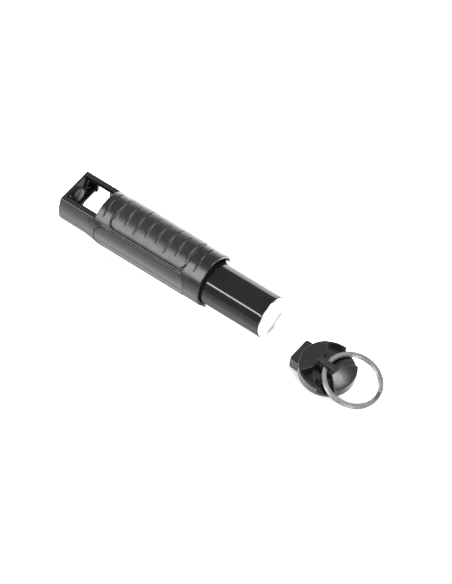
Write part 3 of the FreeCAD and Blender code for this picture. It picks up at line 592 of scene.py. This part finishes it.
def housing_skin(kind, value, outer, inner, beyond_window):
    """Outer and inner points of one row of the housing."""
    degrees = np.abs(np.degrees(outer))
    if kind == "groove":
        along = groove_rows(value[0], outer, GRIP, True)[value[1]]
    else:
        along = np.full(len(outer), 0.0 if kind == "wall" else value)
    beyond_head = kind in ("grip", "groove")
    side = smooth(*SIDE_BLEND, degrees)
    share = (1 - side) * beyond_head + side * smooth(*HEAD_BLEND, along)
    head = head_radius(outer)
    radius = head + (grip_radius(along, outer) - head) * share
    radius -= quarter(along, HEAD_ROUND) + quarter(LENGTH - along, MOUTH_ROUND)
    radius -= quarter(along - HEAD_LENGTH, CROWN_ROUND) * beyond_head * (1 - side)
    if beyond_head:
        bore, angle = np.full(len(outer), BORE), outer
    else:
        closed = kind == "wall" or value < END_WALL + 1e-3
        bore, angle = head_inside(closed, outer, inner, beyond_window, head)
    if kind == "wall":
        radius, bore = radius * value, bore * value
    return round_axis(along, radius, outer), round_axis(np.maximum(along, END_WALL), bore, angle)


def row_start(kind, value):
    """Where along the housing a row lies, to the middle of its groove."""
    if kind == "groove":
        return GROOVE_START + value[0] * GROOVE_PITCH
    return 0 if kind == "wall" else value


def housing_openings(rows, outer):
    """Which cells of the housing's grid are there: the windows and the bayonet slot are left out."""
    starts = np.array([row_start(*row) for row in rows])
    middles = np.degrees(outer) + np.degrees(np.diff(np.append(outer, math.pi))) / 2
    in_thumb = np.abs(middles) < WINDOW_ANGLE
    in_port = (middles < -RAIL_OUTER) & (middles > -FOOT_OUTER)
    below_shelf = (middles < -SHELF_OUTER) & (middles > -FOOT_OUTER)
    in_slot = np.abs(middles + 90) < SLOT_HALF
    present = np.ones((len(rows) - 1, len(outer)), bool)
    head = starts[1:] < HEAD_LENGTH + 0.03
    inside = starts[:-1] > END_WALL - 0.01
    before_port_end = starts[1:] < PORT_SPAN[1] + 0.01
    beyond_port_start = starts[:-1] > PORT_SPAN[0] - 0.01
    in_slot_rows = starts[:-1] > SLOT_START - 0.01
    for open_rows, open_columns in ((head & inside, in_thumb), (in_slot_rows, in_slot),
                                    (beyond_port_start & before_port_end, in_port),
                                    (inside & before_port_end, below_shelf)):
        present[np.outer(open_rows, open_columns)] = False
    return present


def housing_tube():
    """The moulded tube, with an outer and an inner skin on one grid."""
    outer, inner, beyond_window = shell_columns()
    rows = shell_rows()
    skins = [housing_skin(kind, value, outer, inner, beyond_window) for kind, value in rows]
    points = np.concatenate([skin[0] for skin in skins] + [skin[1] for skin in skins])
    count, total = len(outer), len(rows) * len(outer)
    faces = []
    for face in shell_faces(housing_openings(rows, outer), True, total):
        across_middle = all(index % total < count for index in face)
        if not across_middle:
            faces.append(face)
    faces.append(list(range(count)))
    faces.append([total + index for index in range(count)])
    return points.tolist(), faces


RIBS = [(6.4, 0.0, 62, 6.0), (6.4, 0.0, -100, 3.0), (6.4, 0.0, -25, 4.0),
        (-3.9, 0.0, 200, 4.5), (-3.0, 4.0, 125, 4.0)]
RIB_WIDTH = 0.9
RIB_TOP = END_WALL + 1.1
HUB_SIDE = 6.4
HUB_RADIUS = 1.6
SHELF_HALF = 11.4


def end_wall_ribs():
    """Moulded ribs and their hub on the inside of the end wall."""
    parts = []
    low = END_WALL - 0.3
    for across, above, direction, length in RIBS:
        outline = [(0, 0), (length, 0), (length, RIB_WIDTH), (0, RIB_WIDTH)]
        stand = (Matrix.Translation((0, across, above))
                 @ Matrix.Rotation(math.radians(direction), 4, "X")
                 @ Matrix(((0, 0, 1, 0), (1, 0, 0, 0), (0, 1, 0, 0), (0, 0, 0, 1))))
        parts.append(turned(prism(outline, low, RIB_TOP), stand))
    hub = lathe([(low, 0), (low, HUB_RADIUS), (RIB_TOP - 0.25, HUB_RADIUS),
                 (RIB_TOP, HUB_RADIUS - 0.25), (RIB_TOP, 0.7), (RIB_TOP - 0.5, 0.6),
                 (RIB_TOP - 0.5, 0)], 32)
    parts.append(turned(hub, Matrix.Translation((0, HUB_SIDE, 0))))
    return joined(*parts)


def shelf():
    """The flat shelf that stands out from the end wall below the boss."""
    outline = [(END_WALL - 0.3, -SHELF_HALF), (SHELF_END, -SHELF_HALF), (SHELF_END, SHELF_HALF),
               (END_WALL - 0.3, SHELF_HALF)]
    return prism(outline, 0.05 - UNDER_SHELF, -SHELF_DROP)


NUB_ANGLE = 128
NUB_HALF = 7.2
NUB_SPAN = (LENGTH - 0.6, LENGTH + NUB_LENGTH)
NUB_OUTER, NUB_INNER = 13.2, 12.3
NUB_TIP = ((0.4, 0), (0.1, 0.08), (0, 0.25))  # distance from the tip, and how far it thins


def bayonet_nub():
    """The short tongue on the mouth that leads the cap's plug."""
    angles = np.radians(np.linspace(NUB_ANGLE - NUB_HALF, NUB_ANGLE + NUB_HALF, 9))
    stops = [(NUB_SPAN[0], 0)] + [(NUB_SPAN[1] - back, fall) for back, fall in NUB_TIP]
    outside, inside = [], []
    for stop, fall in stops:
        for angle in angles:
            for skin, radius in ((outside, NUB_OUTER - fall), (inside, NUB_INNER + fall)):
                skin.append((stop, -radius * math.sin(angle), radius * math.cos(angle)))
    present = np.ones((len(stops) - 1, len(angles) - 1), bool)
    return outside + inside, shell_faces(present, False, len(outside))


INLAY_GAP = 0.07
SEAT_CLEARANCE = 0.03
INLAY_SHARES = stations((0, 0.6, 0.05), (0.6, 0.93, 0.035), (0.93, 1, 0.0117))
PAD_ROUND = 0.42
PANEL_ROUND = 0.3
PANEL_DISH = 0.14


def outline_half(along, span, half, corner):
    """Half width of a rounded rectangle at a station."""
    end = np.minimum(along - span[0], span[1] - along)
    return half - corner + np.sqrt(np.maximum(corner ** 2 - np.maximum(corner - end, 0) ** 2, 0))


def inlay(rows, span, half, corner, angle_of, skin):
    """A closed patch over a rounded rectangle, from its rows of stations."""
    shares = np.concatenate([-INLAY_SHARES[:0:-1], INLAY_SHARES])
    outside, inside = [], []
    for station, spread_rows in rows:
        reach = outline_half(np.array(station), span, half, corner) * shares
        angle = angle_of(reach)
        along = spread_rows(angle) if spread_rows else np.full(len(shares), station)
        gap = -rounded_distance(along, reach, span, half, corner)
        radius = skin(along, angle, np.maximum(gap, 0))
        outside.append(round_axis(along, radius, angle))
        inside.append(round_axis(along, SEAT + SEAT_CLEARANCE, angle))
    present = np.ones((len(rows) - 1, len(shares) - 1), bool)
    total = len(rows) * len(shares)
    points = np.concatenate(outside + inside).tolist()
    return points, shell_faces(present, False, total)


def end_rows(span, corner):
    """Stations that close in on both ends of an inlay, where its corners turn."""
    near = [0, 0.02, 0.08, 0.18, 0.32, 0.5]
    near += list(np.linspace(0.75, corner, 8))
    return [span[0] + step for step in near], [span[1] - step for step in reversed(near)]


def thumb_pad():
    """The raised grip pad on the crown with its grooves."""
    span = (PAD_SPAN[0] + INLAY_GAP, PAD_SPAN[1] - INLAY_GAP)
    first, last = end_rows(span, PAD_CORNER)
    rows = [(station, None) for station in first + last]
    for number in range(1, GROOVES - 1):
        centre = GROOVE_START + number * GROOVE_PITCH
        rows = [row for row in rows if abs(row[0] - centre) > 1.0]
        for index, share in enumerate(GROOVE_ROWS):
            rows.append((centre + share * GROOVE_LEAST, lambda angle, n=number, i=index:
                         groove_rows(n, angle, PAD_CROWN, False)[i]))
        rows.append((centre + GROOVE_PITCH / 2, None))
    rows.sort(key=lambda row: row[0])

    def skin(along, angle, gap):
        return PAD_CROWN - quarter(gap, PAD_ROUND) - groove_sink(along, angle, PAD_CROWN)

    return inlay(rows, span, PAD_HALF - INLAY_GAP, PAD_CORNER,
                 lambda reach: np.arcsin(reach / PAD_CROWN), skin)


def side_panel(side):
    """One finger panel; side is 1 on the near side and -1 on the far side."""
    span = (PANEL_SPAN[0] + INLAY_GAP, PANEL_SPAN[1] - INLAY_GAP)
    first, last = end_rows(span, PANEL_CORNER)
    middle_rows = list(np.linspace(first[-1], last[0], 14)[1:-1])
    rows = [(station, None) for station in first + middle_rows + last]

    def skin(along, angle, gap):
        return PANEL_FACE - quarter(gap, PANEL_ROUND) - PANEL_DISH * smooth(0.3, 3.5, gap)

    return inlay(rows, span, PANEL_HALF - INLAY_GAP, PANEL_CORNER,
                 lambda reach: side * np.arccos(reach / GRIP), skin)


BOSS_KNEE = 1.4
BOSS_ROOT = -0.1
BOSS_CROWN = 0.15


def nose_dome():
    """The rounded grey boss on the end wall."""
    low, high = corners("nose_boss")
    radius, top = (high.y - low.y) / 2, high.x - low.x
    profile = [(BOSS_ROOT, 0), (BOSS_ROOT, radius)]
    profile += arc((top - BOSS_KNEE, radius - BOSS_KNEE), BOSS_KNEE, 90, 12, 6)
    profile += [(top + BOSS_CROWN * 0.8, radius * 0.3), (top + BOSS_CROWN, 0)]
    centre = (low + high) / 2
    return turned(lathe(profile, 56), Matrix.Translation((low.x, centre.y, centre.z)))


END_WALL_REACH = 6.0
END_WALL_FACING = 0.4  # least X of the normals of faces that look inwards from the end wall


def build_housing():
    tube = piece_from("housing_moulding", *joined(housing_tube(), end_wall_ribs(), shelf(),
                                                  bayonet_nub()),
                      HOUSING, "housing", "housing_plastic", [BLACK_HOUSING], "housing_shell")
    soften(tube, 0.12, angle=50)
    tube.data.materials.append(BLACK_INSIDE)
    end_wall = (SHELL_LOW.x + END_WALL_REACH) * MM
    for face in tube.data.polygons:
        if face.normal.x > END_WALL_FACING and face.center.x < end_wall:
            face.material_index = 1
    pad = piece_from("thumb_pad", *thumb_pad(), HOUSING, "housing", "grip_plastic",
                     [BLACK_PAD], "grip_pad")
    near = piece_from("side_panel_near", *side_panel(1), HOUSING, "housing", "panel_plastic",
                      [BLACK_PANEL], "finger_panel_near")
    far = piece_from("side_panel_far", *side_panel(-1), HOUSING, "housing", "panel_plastic",
                     [BLACK_PANEL], "finger_panel_far")
    boss = piece_from("nose_dome", *nose_dome(), Matrix.Identity(4), "housing", "boss_plastic",
                      [GREY_BOSS], "nose_boss")
    return tube, pad, near, far, boss


# ---- Spray can, in millimetres from its base towards the nozzle ----

CAN_RADIUS = (CAN_HIGH.y - CAN_LOW.y) / 2
CAN_WALL = 0.5
CAN_RIM = 0.35
CAN_SHOULDER, CAN_ROUND, CAN_ROUND_END = 51.6, 2.4, 35
NECK_RADIUS, NECK_BORE = 8.8, 8.3
NECK_SPAN = (56.5, 57.9)
BEAD_MIDDLE, BEAD_ROUND = (58.75, 8.85), 0.45
CAN_TOP, CAN_TOP_RADIUS = 59.5, 8.9
SHOULDER_INSIDE = 53
CHIME_ROUND, CHIME_DROP = 0.5, 0.55
# Dished plate of the base, as (depth, radius): its face, and its back from the middle outwards.
PLATE_FACE = [(1.3, 7.2), (2.0, 5.2), (2.5, 3.0), (2.75, 1.4), (2.8, 0)]
PLATE_BACK = [(3.4, 0), (3.2, 2.4), (2.6, 5.2), (1.6, 7.8)]


def can_tube():
    """The lacquered tube: rolled rim at its base, rounded shoulder, neck and bead."""
    inner = CAN_RADIUS - CAN_WALL
    outside = arc((CAN_RIM, CAN_RADIUS - CAN_RIM), CAN_RIM, 180, 90, 5) + [(2, CAN_RADIUS)]
    outside += [(CAN_SHOULDER, CAN_RADIUS)]
    outside += arc((CAN_SHOULDER, CAN_RADIUS - CAN_ROUND), CAN_ROUND, 90, CAN_ROUND_END, 8)
    outside += [(x, NECK_RADIUS) for x in NECK_SPAN] + arc(BEAD_MIDDLE, BEAD_ROUND, 150, 30, 4)
    outside += [(CAN_TOP, CAN_TOP_RADIUS)]
    inside = [(CAN_TOP, NECK_BORE), (NECK_SPAN[0], NECK_BORE), (SHOULDER_INSIDE, inner),
              (CAN_RIM, inner), (0, inner + 0.15)]
    return lathe(outside + inside, 160)


def can_end():
    """The bare metal base: a rolled chime round a dished plate."""
    edge = CAN_RADIUS - CAN_WALL
    face = [(0.1, edge)] + arc((0.0, edge - CHIME_DROP), CHIME_ROUND, 90, 200, 8)
    face += [(0.5, edge - 1.3)] + PLATE_FACE
    return lathe(face + PLATE_BACK + [(1.2, edge)], 128)


def push_button():
    """The actuator button: a skirted cap with a dished face."""
    low, high = corners("actuator_button")
    radius = (high.y - low.y) / 2
    length = high.x - low.x
    profile = [(0, 1.6), (0, radius - 0.2), (0.2, radius), (length - 1.4, radius)]
    profile += [(length - 0.9, radius - 0.25), (length - 0.2, radius - 1.0)]
    profile += [(length, radius - 1.4), (length - 0.35, radius * 0.45), (length - 0.45, 0)]
    profile += [(length - 4.0, 0), (length - 4.0, 1.55)]
    return lathe(profile, 72)


SPRING_TURNS = 6
SPRING_RADIUS = 2.2
SPRING_WIRE = 0.25
SPRING_STEPS, SPRING_SIDES = 40, 12  # steps in a turn, and sides of the wire


def stem_spring(length):
    """An even coil of round wire along X."""
    points = []
    steps, sides = SPRING_TURNS * SPRING_STEPS, SPRING_SIDES
    for step in range(steps + 1):
        share = step / steps
        turn = 2 * math.pi * SPRING_TURNS * share
        along = SPRING_WIRE + (length - 2 * SPRING_WIRE) * share
        for side in range(sides):
            angle = 2 * math.pi * side / sides
            reach = SPRING_RADIUS + SPRING_WIRE * math.cos(angle)
            points.append((along + SPRING_WIRE * math.sin(angle), reach * math.cos(turn),
                           reach * math.sin(turn)))
    return points, capped_sleeve(steps, sides)


def build_can():
    tube = piece_from("can_tube", *can_tube(), CAN, "can", "can_lacquer", [LACQUER], "can_body")
    end = piece_from("can_end", *can_end(), CAN, "can", "can_metal", [ALUMINIUM], "can_base")
    button_end = corners("actuator_button")[1].x
    seat = (Matrix.Translation((button_end, CAN_ORIGIN.y, CAN_ORIGIN.z))
            @ Matrix.Rotation(math.pi, 4, "Z"))
    button = piece_from("push_button", *push_button(), seat, "actuator", "button_plastic",
                        [BUTTON], "actuator_button")
    for piece in (tube, end, button):
        shade_by_angle(piece)
    low, high = corners("valve_spring")
    seat = Matrix.Translation((low.x, CAN_ORIGIN.y, CAN_ORIGIN.z))
    spring = piece_from("stem_spring", *stem_spring(high.x - low.x), seat, "can", "spring_steel",
                        [SPRING], "valve_spring")
    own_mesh(spring)
    return tube, end, button


# ---- Cap, in millimetres about the middle of its rim plane ----

CAP_RADIUS = 14.0
CAP_SKIRT = 5.3
DOME_RISE = 2.0
DOME_ROUND = (CAP_RADIUS ** 2 + DOME_RISE ** 2) / (2 * DOME_RISE)
CHANNEL_HALF = 4.6
CHANNEL_DEPTH = 3.6
LUG_STRAIGHT = 5.5
RING_STRAIGHT = 3.8
CHANNEL_END = 15.0
LUG_MOUTH = 11.5
RING_MOUTH = 17.1
LUG_REACH = 17.4
LUG_ROOT = 12.0
LUG_HALF = 6.8
LUG_TOP = -3.0
LUG_BOTTOM = -9.6
LUG_BEVEL = 1.0
LUG_RELIEF = 13.75
LIP_INSIDE = 13.15
LIP_TOP = -0.4
NEAR_LIP = (-131.6, -74.7)
FAR_LIP = (88.0, 133.0)
RAMP_FOOT = -3.55
PLUG_RADIUS = 12.0
PLUG_BORE = 10.4
PLUG_FLOOR = -6.1
PLUG_BOTTOM = -8.3
LEG_BOTTOM = -11.05
LEG_INNER = 10.9
RAMP_TOP = -0.5


# Share of the outline's size, and how far below the dome: the foot, the rounded edge, the crown.
DOME_LEVELS = ((1.0, None), (1.0, 0.34), (0.9965, 0.12), (0.985, 0.03), (0.965, 0.0), (0.88, 0.0),
               (0.75, 0.0), (0.55, 0.0), (0.32, 0.0), (0.12, 0.0))
DOME_FOOT = -CHANNEL_DEPTH - 0.2
FLOOR_SINK = -CHANNEL_DEPTH - 0.4  # level in the disc that the lips and the ramp start from
RIM_EDGE = 0.35
PLUG_EDGE = 0.25
LEG_HALF = 12  # degrees on each side of the latch leg's middle
BAR_HALF, BAR_WIDTH, BAR_LOW, BAR_HIGH = 5.6, 1.5, 0.85, 1.95


def rim_crossing(straight, mouth):
    """Where a flared channel wall reaches the rim, as (distance from the middle plane, along)."""
    slope = (mouth - CHANNEL_HALF) / (CHANNEL_END - straight)
    shares = np.linspace(0, 1, 2000)
    along = straight + shares * (CHANNEL_END - straight)
    away = CHANNEL_HALF + slope * (along - straight)
    index = int(np.argmin(np.abs(np.hypot(away, along) - CAP_RADIUS)))
    return float(away[index]), float(along[index])


def half_outline(straight, mouth, steps=30):
    """Outline of one half dome on the +X side: the rim, then the channel's three-sided wall."""
    away, along = rim_crossing(straight, mouth)
    start = math.atan2(along, away)
    rim = [(CAP_RADIUS * math.cos(a), CAP_RADIUS * math.sin(a))
           for a in np.linspace(-start, start, steps)]
    shares = np.linspace(0, 1, 9)[1:]
    flare = [(away + (CHANNEL_HALF - away) * t, along + (straight - along) * t) for t in shares]
    middle_wall = [(CHANNEL_HALF, straight - 2 * straight * t) for t in shares]
    return rim + flare + middle_wall + [(x, -y) for x, y in flare[-2::-1]]


def half_dome(outline):
    """A domed half of the cap as a closed pillow on its outline."""
    outline = np.array(outline)
    centre = outline.mean(0)
    points = []
    for share, fall in DOME_LEVELS:
        loop = centre + (outline - centre) * share
        for x, y in loop:
            dome = DOME_RISE - DOME_ROUND + math.sqrt(DOME_ROUND ** 2 - x * x - y * y)
            points.append((x, y, DOME_FOOT if fall is None else dome - fall))
    count, last = len(outline), (len(DOME_LEVELS) - 1) * len(outline)
    caps = [list(range(last, last + count)), list(range(count))[::-1]]
    return points, sleeve(len(DOME_LEVELS) - 1, count) + caps


def cap_disc():
    """The disc under the two half domes, whose top is the channel's floor."""
    profile = [(-CAP_SKIRT, 0), (-CAP_SKIRT, CAP_RADIUS - RIM_EDGE)]
    profile += arc((-CAP_SKIRT + RIM_EDGE, CAP_RADIUS - RIM_EDGE), RIM_EDGE, 180, 90, 4)
    profile += [(-CHANNEL_DEPTH - 0.25, CAP_RADIUS), (-CHANNEL_DEPTH, CAP_RADIUS - 0.1)]
    profile += [(-CHANNEL_DEPTH, 0)]
    return lathe(profile, 120, "Z")


def cap_lug():
    """The square lug with bevelled corners, whose skirt passes over the collar."""
    outline = [(-LUG_ROOT, -LUG_HALF), (-LUG_ROOT, LUG_HALF), (-LUG_REACH + LUG_BEVEL, LUG_HALF),
               (-LUG_REACH, LUG_HALF - LUG_BEVEL), (-LUG_REACH, -LUG_HALF + LUG_BEVEL),
               (-LUG_REACH + LUG_BEVEL, -LUG_HALF)]
    upper = prism(outline, -CAP_SKIRT, LUG_TOP)
    inner = [(-math.sqrt(LUG_RELIEF ** 2 - y * y), y) for y in np.linspace(-LUG_HALF, LUG_HALF, 13)]
    skirt = prism(inner + outline[2:], LUG_BOTTOM, -CAP_SKIRT)
    return joined(upper, skirt)


def channel_lip(ends):
    """A low wall along the rim that closes part of the channel's mouth."""
    outline = arc((0, 0), CAP_RADIUS, *ends, 24) + arc((0, 0), LIP_INSIDE, *ends[::-1], 24)
    return prism(outline, FLOOR_SINK, LIP_TOP)


def channel_ramp():
    """The channel's floor rising to the near lip, beside the lug."""
    rim = arc((0, 0), LIP_INSIDE + 0.05, NEAR_LIP[1], NEAR_LIP[0], 16)
    top = [(-4.65, -5.6, RAMP_FOOT), (2.5, -7.5, RAMP_FOOT)] + [(x, y, RAMP_TOP) for x, y in rim]
    points = top + [(x, y, FLOOR_SINK) for x, y, _ in top]
    count = len(top)
    faces = [[0, index, index + 1] for index in range(1, count - 1)]
    faces.append([count + index for index in range(count)][::-1])
    for index in range(count):
        other = (index + 1) % count
        faces.append([index, count + index, count + other, other])
    return points, faces


def mirrored(outline):
    """An outline on the -X side instead."""
    return [(-x, y) for x, y in reversed(outline)]


def key_bridge():
    """The bar that bridges the channel."""
    outline = [(-BAR_HALF, -BAR_WIDTH), (BAR_HALF, -BAR_WIDTH), (BAR_HALF, BAR_WIDTH),
               (-BAR_HALF, BAR_WIDTH)]
    return prism(outline, BAR_LOW, BAR_HIGH)


def cap_plug():
    """The plug that enters the collar, with its latch leg."""
    low, chamfer = PLUG_BOTTOM, PLUG_EDGE
    profile = [(-CAP_SKIRT, 0), (-CAP_SKIRT, PLUG_RADIUS), (low + chamfer, PLUG_RADIUS),
               (low, PLUG_RADIUS - chamfer), (low, PLUG_BORE + chamfer),
               (low + chamfer, PLUG_BORE), (PLUG_FLOOR, PLUG_BORE), (PLUG_FLOOR, 0)]
    angles = np.radians(np.linspace(180 - LEG_HALF, 180 + LEG_HALF, 9))
    outside, inside = [], []
    tip = LEG_BOTTOM
    for height, fall in ((PLUG_FLOOR, 0), (tip + 0.45, 0), (tip + 0.1, 0.12), (tip, 0.4)):
        reach = PLUG_RADIUS - fall
        for angle in angles:
            outside.append((reach * math.cos(angle), reach * math.sin(angle), height))
            inside.append((LEG_INNER * math.cos(angle), LEG_INNER * math.sin(angle), height))
    present = np.ones((3, len(angles) - 1), bool)
    return joined(lathe(profile, 120, "Z"), (outside + inside, shell_faces(present, False, len(outside))))


def build_cap():
    near_ring = half_outline(RING_STRAIGHT, RING_MOUTH)
    near_lug = mirrored(half_outline(LUG_STRAIGHT, LUG_MOUTH))
    cover = piece_from("cap_moulding",
                       *joined(cap_disc(), half_dome(near_ring), half_dome(near_lug), cap_lug(),
                               channel_lip(NEAR_LIP), channel_lip(FAR_LIP), channel_ramp()),
                       CAP, "cap", "cap_plastic", [BLACK_CAP], "cap_cover")
    soften(cover, 0.28, angle=40)
    bridge = piece_from("key_bridge", *key_bridge(), CAP, "cap", "cap_plastic",
                        [BLACK_CAP], "key_bar")
    soften(bridge, 0.3, angle=40, segments=3)
    plug = piece_from("plug_moulding", *cap_plug(), CAP, "cap", "plug_plastic",
                      [BLACK_PLUG], "bayonet_plug")
    soften(plug, 0.15, angle=40)
    return cover, bridge, plug


# ---- Key ring: one flat wire wound twice, in millimetres about the ring's middle ----

WIRE_WIDTH = 2.3
WIRE_HEIGHT = 0.95
WIRE_BEVEL = 0.28
COIL_LIFT = 0.49
GAP_MIDDLE = math.radians(-6)
GAP_WIDTH = math.radians(22)
RING_STEPS = 260


def ring_wire():
    """The split ring's wire: a turn on top, a crossing in the gap between its ends, a turn below."""
    half, flat, bevel = WIRE_WIDTH / 2, WIRE_HEIGHT / 2, WIRE_BEVEL
    section = [(-half, -flat + bevel), (-half + bevel, -flat), (half - bevel, -flat),
               (half, -flat + bevel), (half, flat - bevel), (half - bevel, flat),
               (-half + bevel, flat), (-half, flat - bevel)]
    turn = 2 * math.pi
    length = 2 * turn - GAP_WIDTH
    points = []
    for step in range(RING_STEPS + 1):
        run = length * step / RING_STEPS
        angle = GAP_MIDDLE + GAP_WIDTH / 2 + run
        crossing = float(smooth(turn - GAP_WIDTH, turn, run))
        lift = COIL_LIFT * (1 - 2 * crossing)
        for across, up in section:
            radius = RING_REACH + across
            points.append((radius * math.cos(angle), radius * math.sin(angle), lift + up))
    return points, capped_sleeve(RING_STEPS, len(section))


def build_ring():
    wire = piece_from("ring_wire", *ring_wire(), RING, "key_ring", "ring_steel",
                      [STEEL], "split_ring")
    soften(wire, 0.08, angle=35)
    return wire


# ---- Pieces that keep their CAD shape ----

KEPT = {
    "valve_cup": FERRULE, "cup_gasket": RUBBER, "valve_housing": CLEAR_PLASTIC,
    "stem_gasket": RUBBER, "dip_tube": TUBE, "valve_stem": CLEAR_PLASTIC,
    "nozzle_insert": BRASS, "cap_seal": RUBBER, "can_cushion": FOAM,
}


def finish_kept():
    for node, material in KEPT.items():
        piece = frame["nodes"][node]
        piece.data.materials.clear()
        piece.data.materials.append(material)


# ---- Floor, light and camera, in metres ----

TABLE_REACH, TABLE_LEVEL = 2.5, -0.00002
TINT = (1, 0.965, 1)  # of the glow and the lamps
# The floor's own glow is painted light: it falls along X, rises across Y and dips to a painted shadow along
# the housing's near edge, and GLOW_EVERYWHERE is added all over.
PAINTED_LIGHT_ALONG = (0.02, 0.075, 1.0, 0.3)
PAINTED_LIGHT_ACROSS = (-0.07, 0.03, 0.0, 2.4)
GLOW_EVERYWHERE = 0.5
# Painted shadow: where the glow dips along the housing's near edge, and how far the dip reaches.
PAINTED_SHADOW_LINE = 0.011
PAINTED_SHADOW_REACH = (0.003, 0.009)
TABLE_TONES, TABLE_DRIFT, TABLE_ROUGHNESS = ((0.90,) * 3, (0.91,) * 3), 60, 0.7


def worked_out(tree, operation, *values):
    """Result of a maths node, whose values are numbers or other nodes' outputs."""
    node = tree.nodes.new("ShaderNodeMath")
    node.operation = operation
    for socket, value in zip(node.inputs, values):
        if isinstance(value, bpy.types.NodeSocket):
            tree.links.new(value, socket)
        else:
            socket.default_value = value
    return node.outputs[0]


def floor():
    """A pale matt table top whose own glow paints light on it, with a painted shadow along the housing's
    near edge.
    """
    mesh = bpy.data.meshes.new("table_top")
    reach, level = TABLE_REACH, TABLE_LEVEL
    mesh.from_pydata([(-reach, -reach, level), (reach, -reach, level), (reach, reach, level),
                      (-reach, reach, level)], [], [(0, 1, 2, 3)])
    table = added("table_top", mesh)
    material, principled = shader("table_white_painted_glow", TABLE_TONES[0], TABLE_ROUGHNESS, level=0.2)
    principled.inputs["Emission Color"].default_value = (*TINT, 1)
    tree = material.node_tree
    place = tree.nodes.new("ShaderNodeTexCoord")
    axes = tree.nodes.new("ShaderNodeSeparateXYZ")
    tree.links.new(place.outputs["Object"], axes.inputs["Vector"])
    # Painted light: the table's glow falls along X and rises across Y.
    along = map_range(tree, axes.outputs["X"], PAINTED_LIGHT_ALONG, "SMOOTHSTEP")
    across = map_range(tree, axes.outputs["Y"], PAINTED_LIGHT_ACROSS, "SMOOTHSTEP")
    # Painted shadow: the glow dips to nothing along the housing's near edge.
    beside = worked_out(tree, "ADD", axes.outputs["Y"], PAINTED_SHADOW_LINE)
    painted_shadow = map_range(tree, worked_out(tree, "ABSOLUTE", beside), PAINTED_SHADOW_REACH)
    glow_with_painted_shadow = worked_out(tree, "MULTIPLY", along, painted_shadow)
    glow = worked_out(tree, "MULTIPLY_ADD", glow_with_painted_shadow, across, GLOW_EVERYWHERE)
    tree.links.new(glow, principled.inputs["Emission Strength"])
    mottle(material, principled, *TABLE_TONES, TABLE_DRIFT)
    mesh.materials.append(material)


WORLD_STRENGTH = 0.42
# Soft lights: direction from the origin, distance, width and height, watts, and the pieces lit.
BEHIND = (-0.368, 0.92, 0.14)
LIGHTS = {
    "right": ((0.70, -0.40, 0.60), 1.3, (0.5, 0.5), 10, "all"),
    "left": ((-0.88, 0.12, 0.40), 1.3, (0.5, 0.5), 8, "all"),
    "top": ((0.19, 0.355, 0.92), 1.3, (0.3, 0.3), 3.2, "all"),
    "edge": ((0.50, 0.48, 0.71), 1.3, (0.45, 0.45), 6, "housing"),
    "backdrop": (BEHIND, 1.3, (1.6, 0.4), 2.4, "moulded"),
    "backdrop_can": (BEHIND, 1.3, (1.6, 0.4), 9, "can"),
    "front": ((-0.368, -0.608, 0.703), 0.9, (0.5, 0.69), 7, "moulded"),
    "strip": ((-0.368, -0.700, 0.610), 0.9, (0.6, 0.10), 4.5, "can"),
}


def softbox(name, direction, distance, size, power, pieces):
    """A rectangular soft light that faces the frame's origin, for all pieces or only those given."""
    light = bpy.data.lights.new(name, "AREA")
    light.shape = "RECTANGLE"
    light.size, light.size_y = size
    light.energy = power
    light.color = TINT
    lamp = added(name, light)
    back = Vector(direction).normalized()
    lamp.location = back * distance
    lamp.rotation_euler = back.to_track_quat("Z", "Y").to_euler()
    lamp.visible_camera = False
    if pieces:
        lit = bpy.data.collections.new(name + "_lit")
        for piece in pieces:
            lit.objects.link(piece)
        lamp.light_linking.receiver_collection = lit


def surroundings(strength):
    """Even pale light from all round."""
    world = bpy.data.worlds.new("studio")
    bpy.context.scene.world = world
    world.use_nodes = True
    background = world.node_tree.nodes["Background"]
    background.inputs["Color"].default_value = (1, 1, 1, 1)
    background.inputs["Strength"].default_value = strength


AZIMUTH = math.radians(37.4)
ELEVATION = math.radians(52.7)
DISTANCE = 3.0
FRAME_HEIGHT = 0.2755
VIEW_SHIFT = Vector((-0.00211, 0.00578, -0.00825))


def camera():
    low, high = CAD_BOX
    target = (low + high) / 2 + VIEW_SHIFT
    back = Vector((math.sin(AZIMUTH) * math.cos(ELEVATION),
                   -math.cos(AZIMUTH) * math.cos(ELEVATION), math.sin(ELEVATION)))
    data = bpy.data.cameras.new("view")
    data.lens = data.sensor_width * DISTANCE / FRAME_HEIGHT
    eye = added("view", data)
    eye.location = target + back * DISTANCE
    eye.rotation_euler = back.to_track_quat("Z", "Y").to_euler()
    bpy.context.scene.camera = eye


def studio(groups):
    """The floor, the light from all round and the soft lights."""
    floor()
    surroundings(WORLD_STRENGTH)
    for name, (direction, distance, size, power, lit) in LIGHTS.items():
        softbox(name, direction, distance, size, power, groups[lit])
    bpy.context.scene.view_settings.view_transform = "Standard"


housing_pieces = build_housing()
can_pieces = build_can()
cap_pieces = build_cap()
ring = build_ring()
finish_kept()
studio({"all": (), "housing": housing_pieces, "can": can_pieces,
        "moulded": (*housing_pieces, *cap_pieces, ring)})
camera()
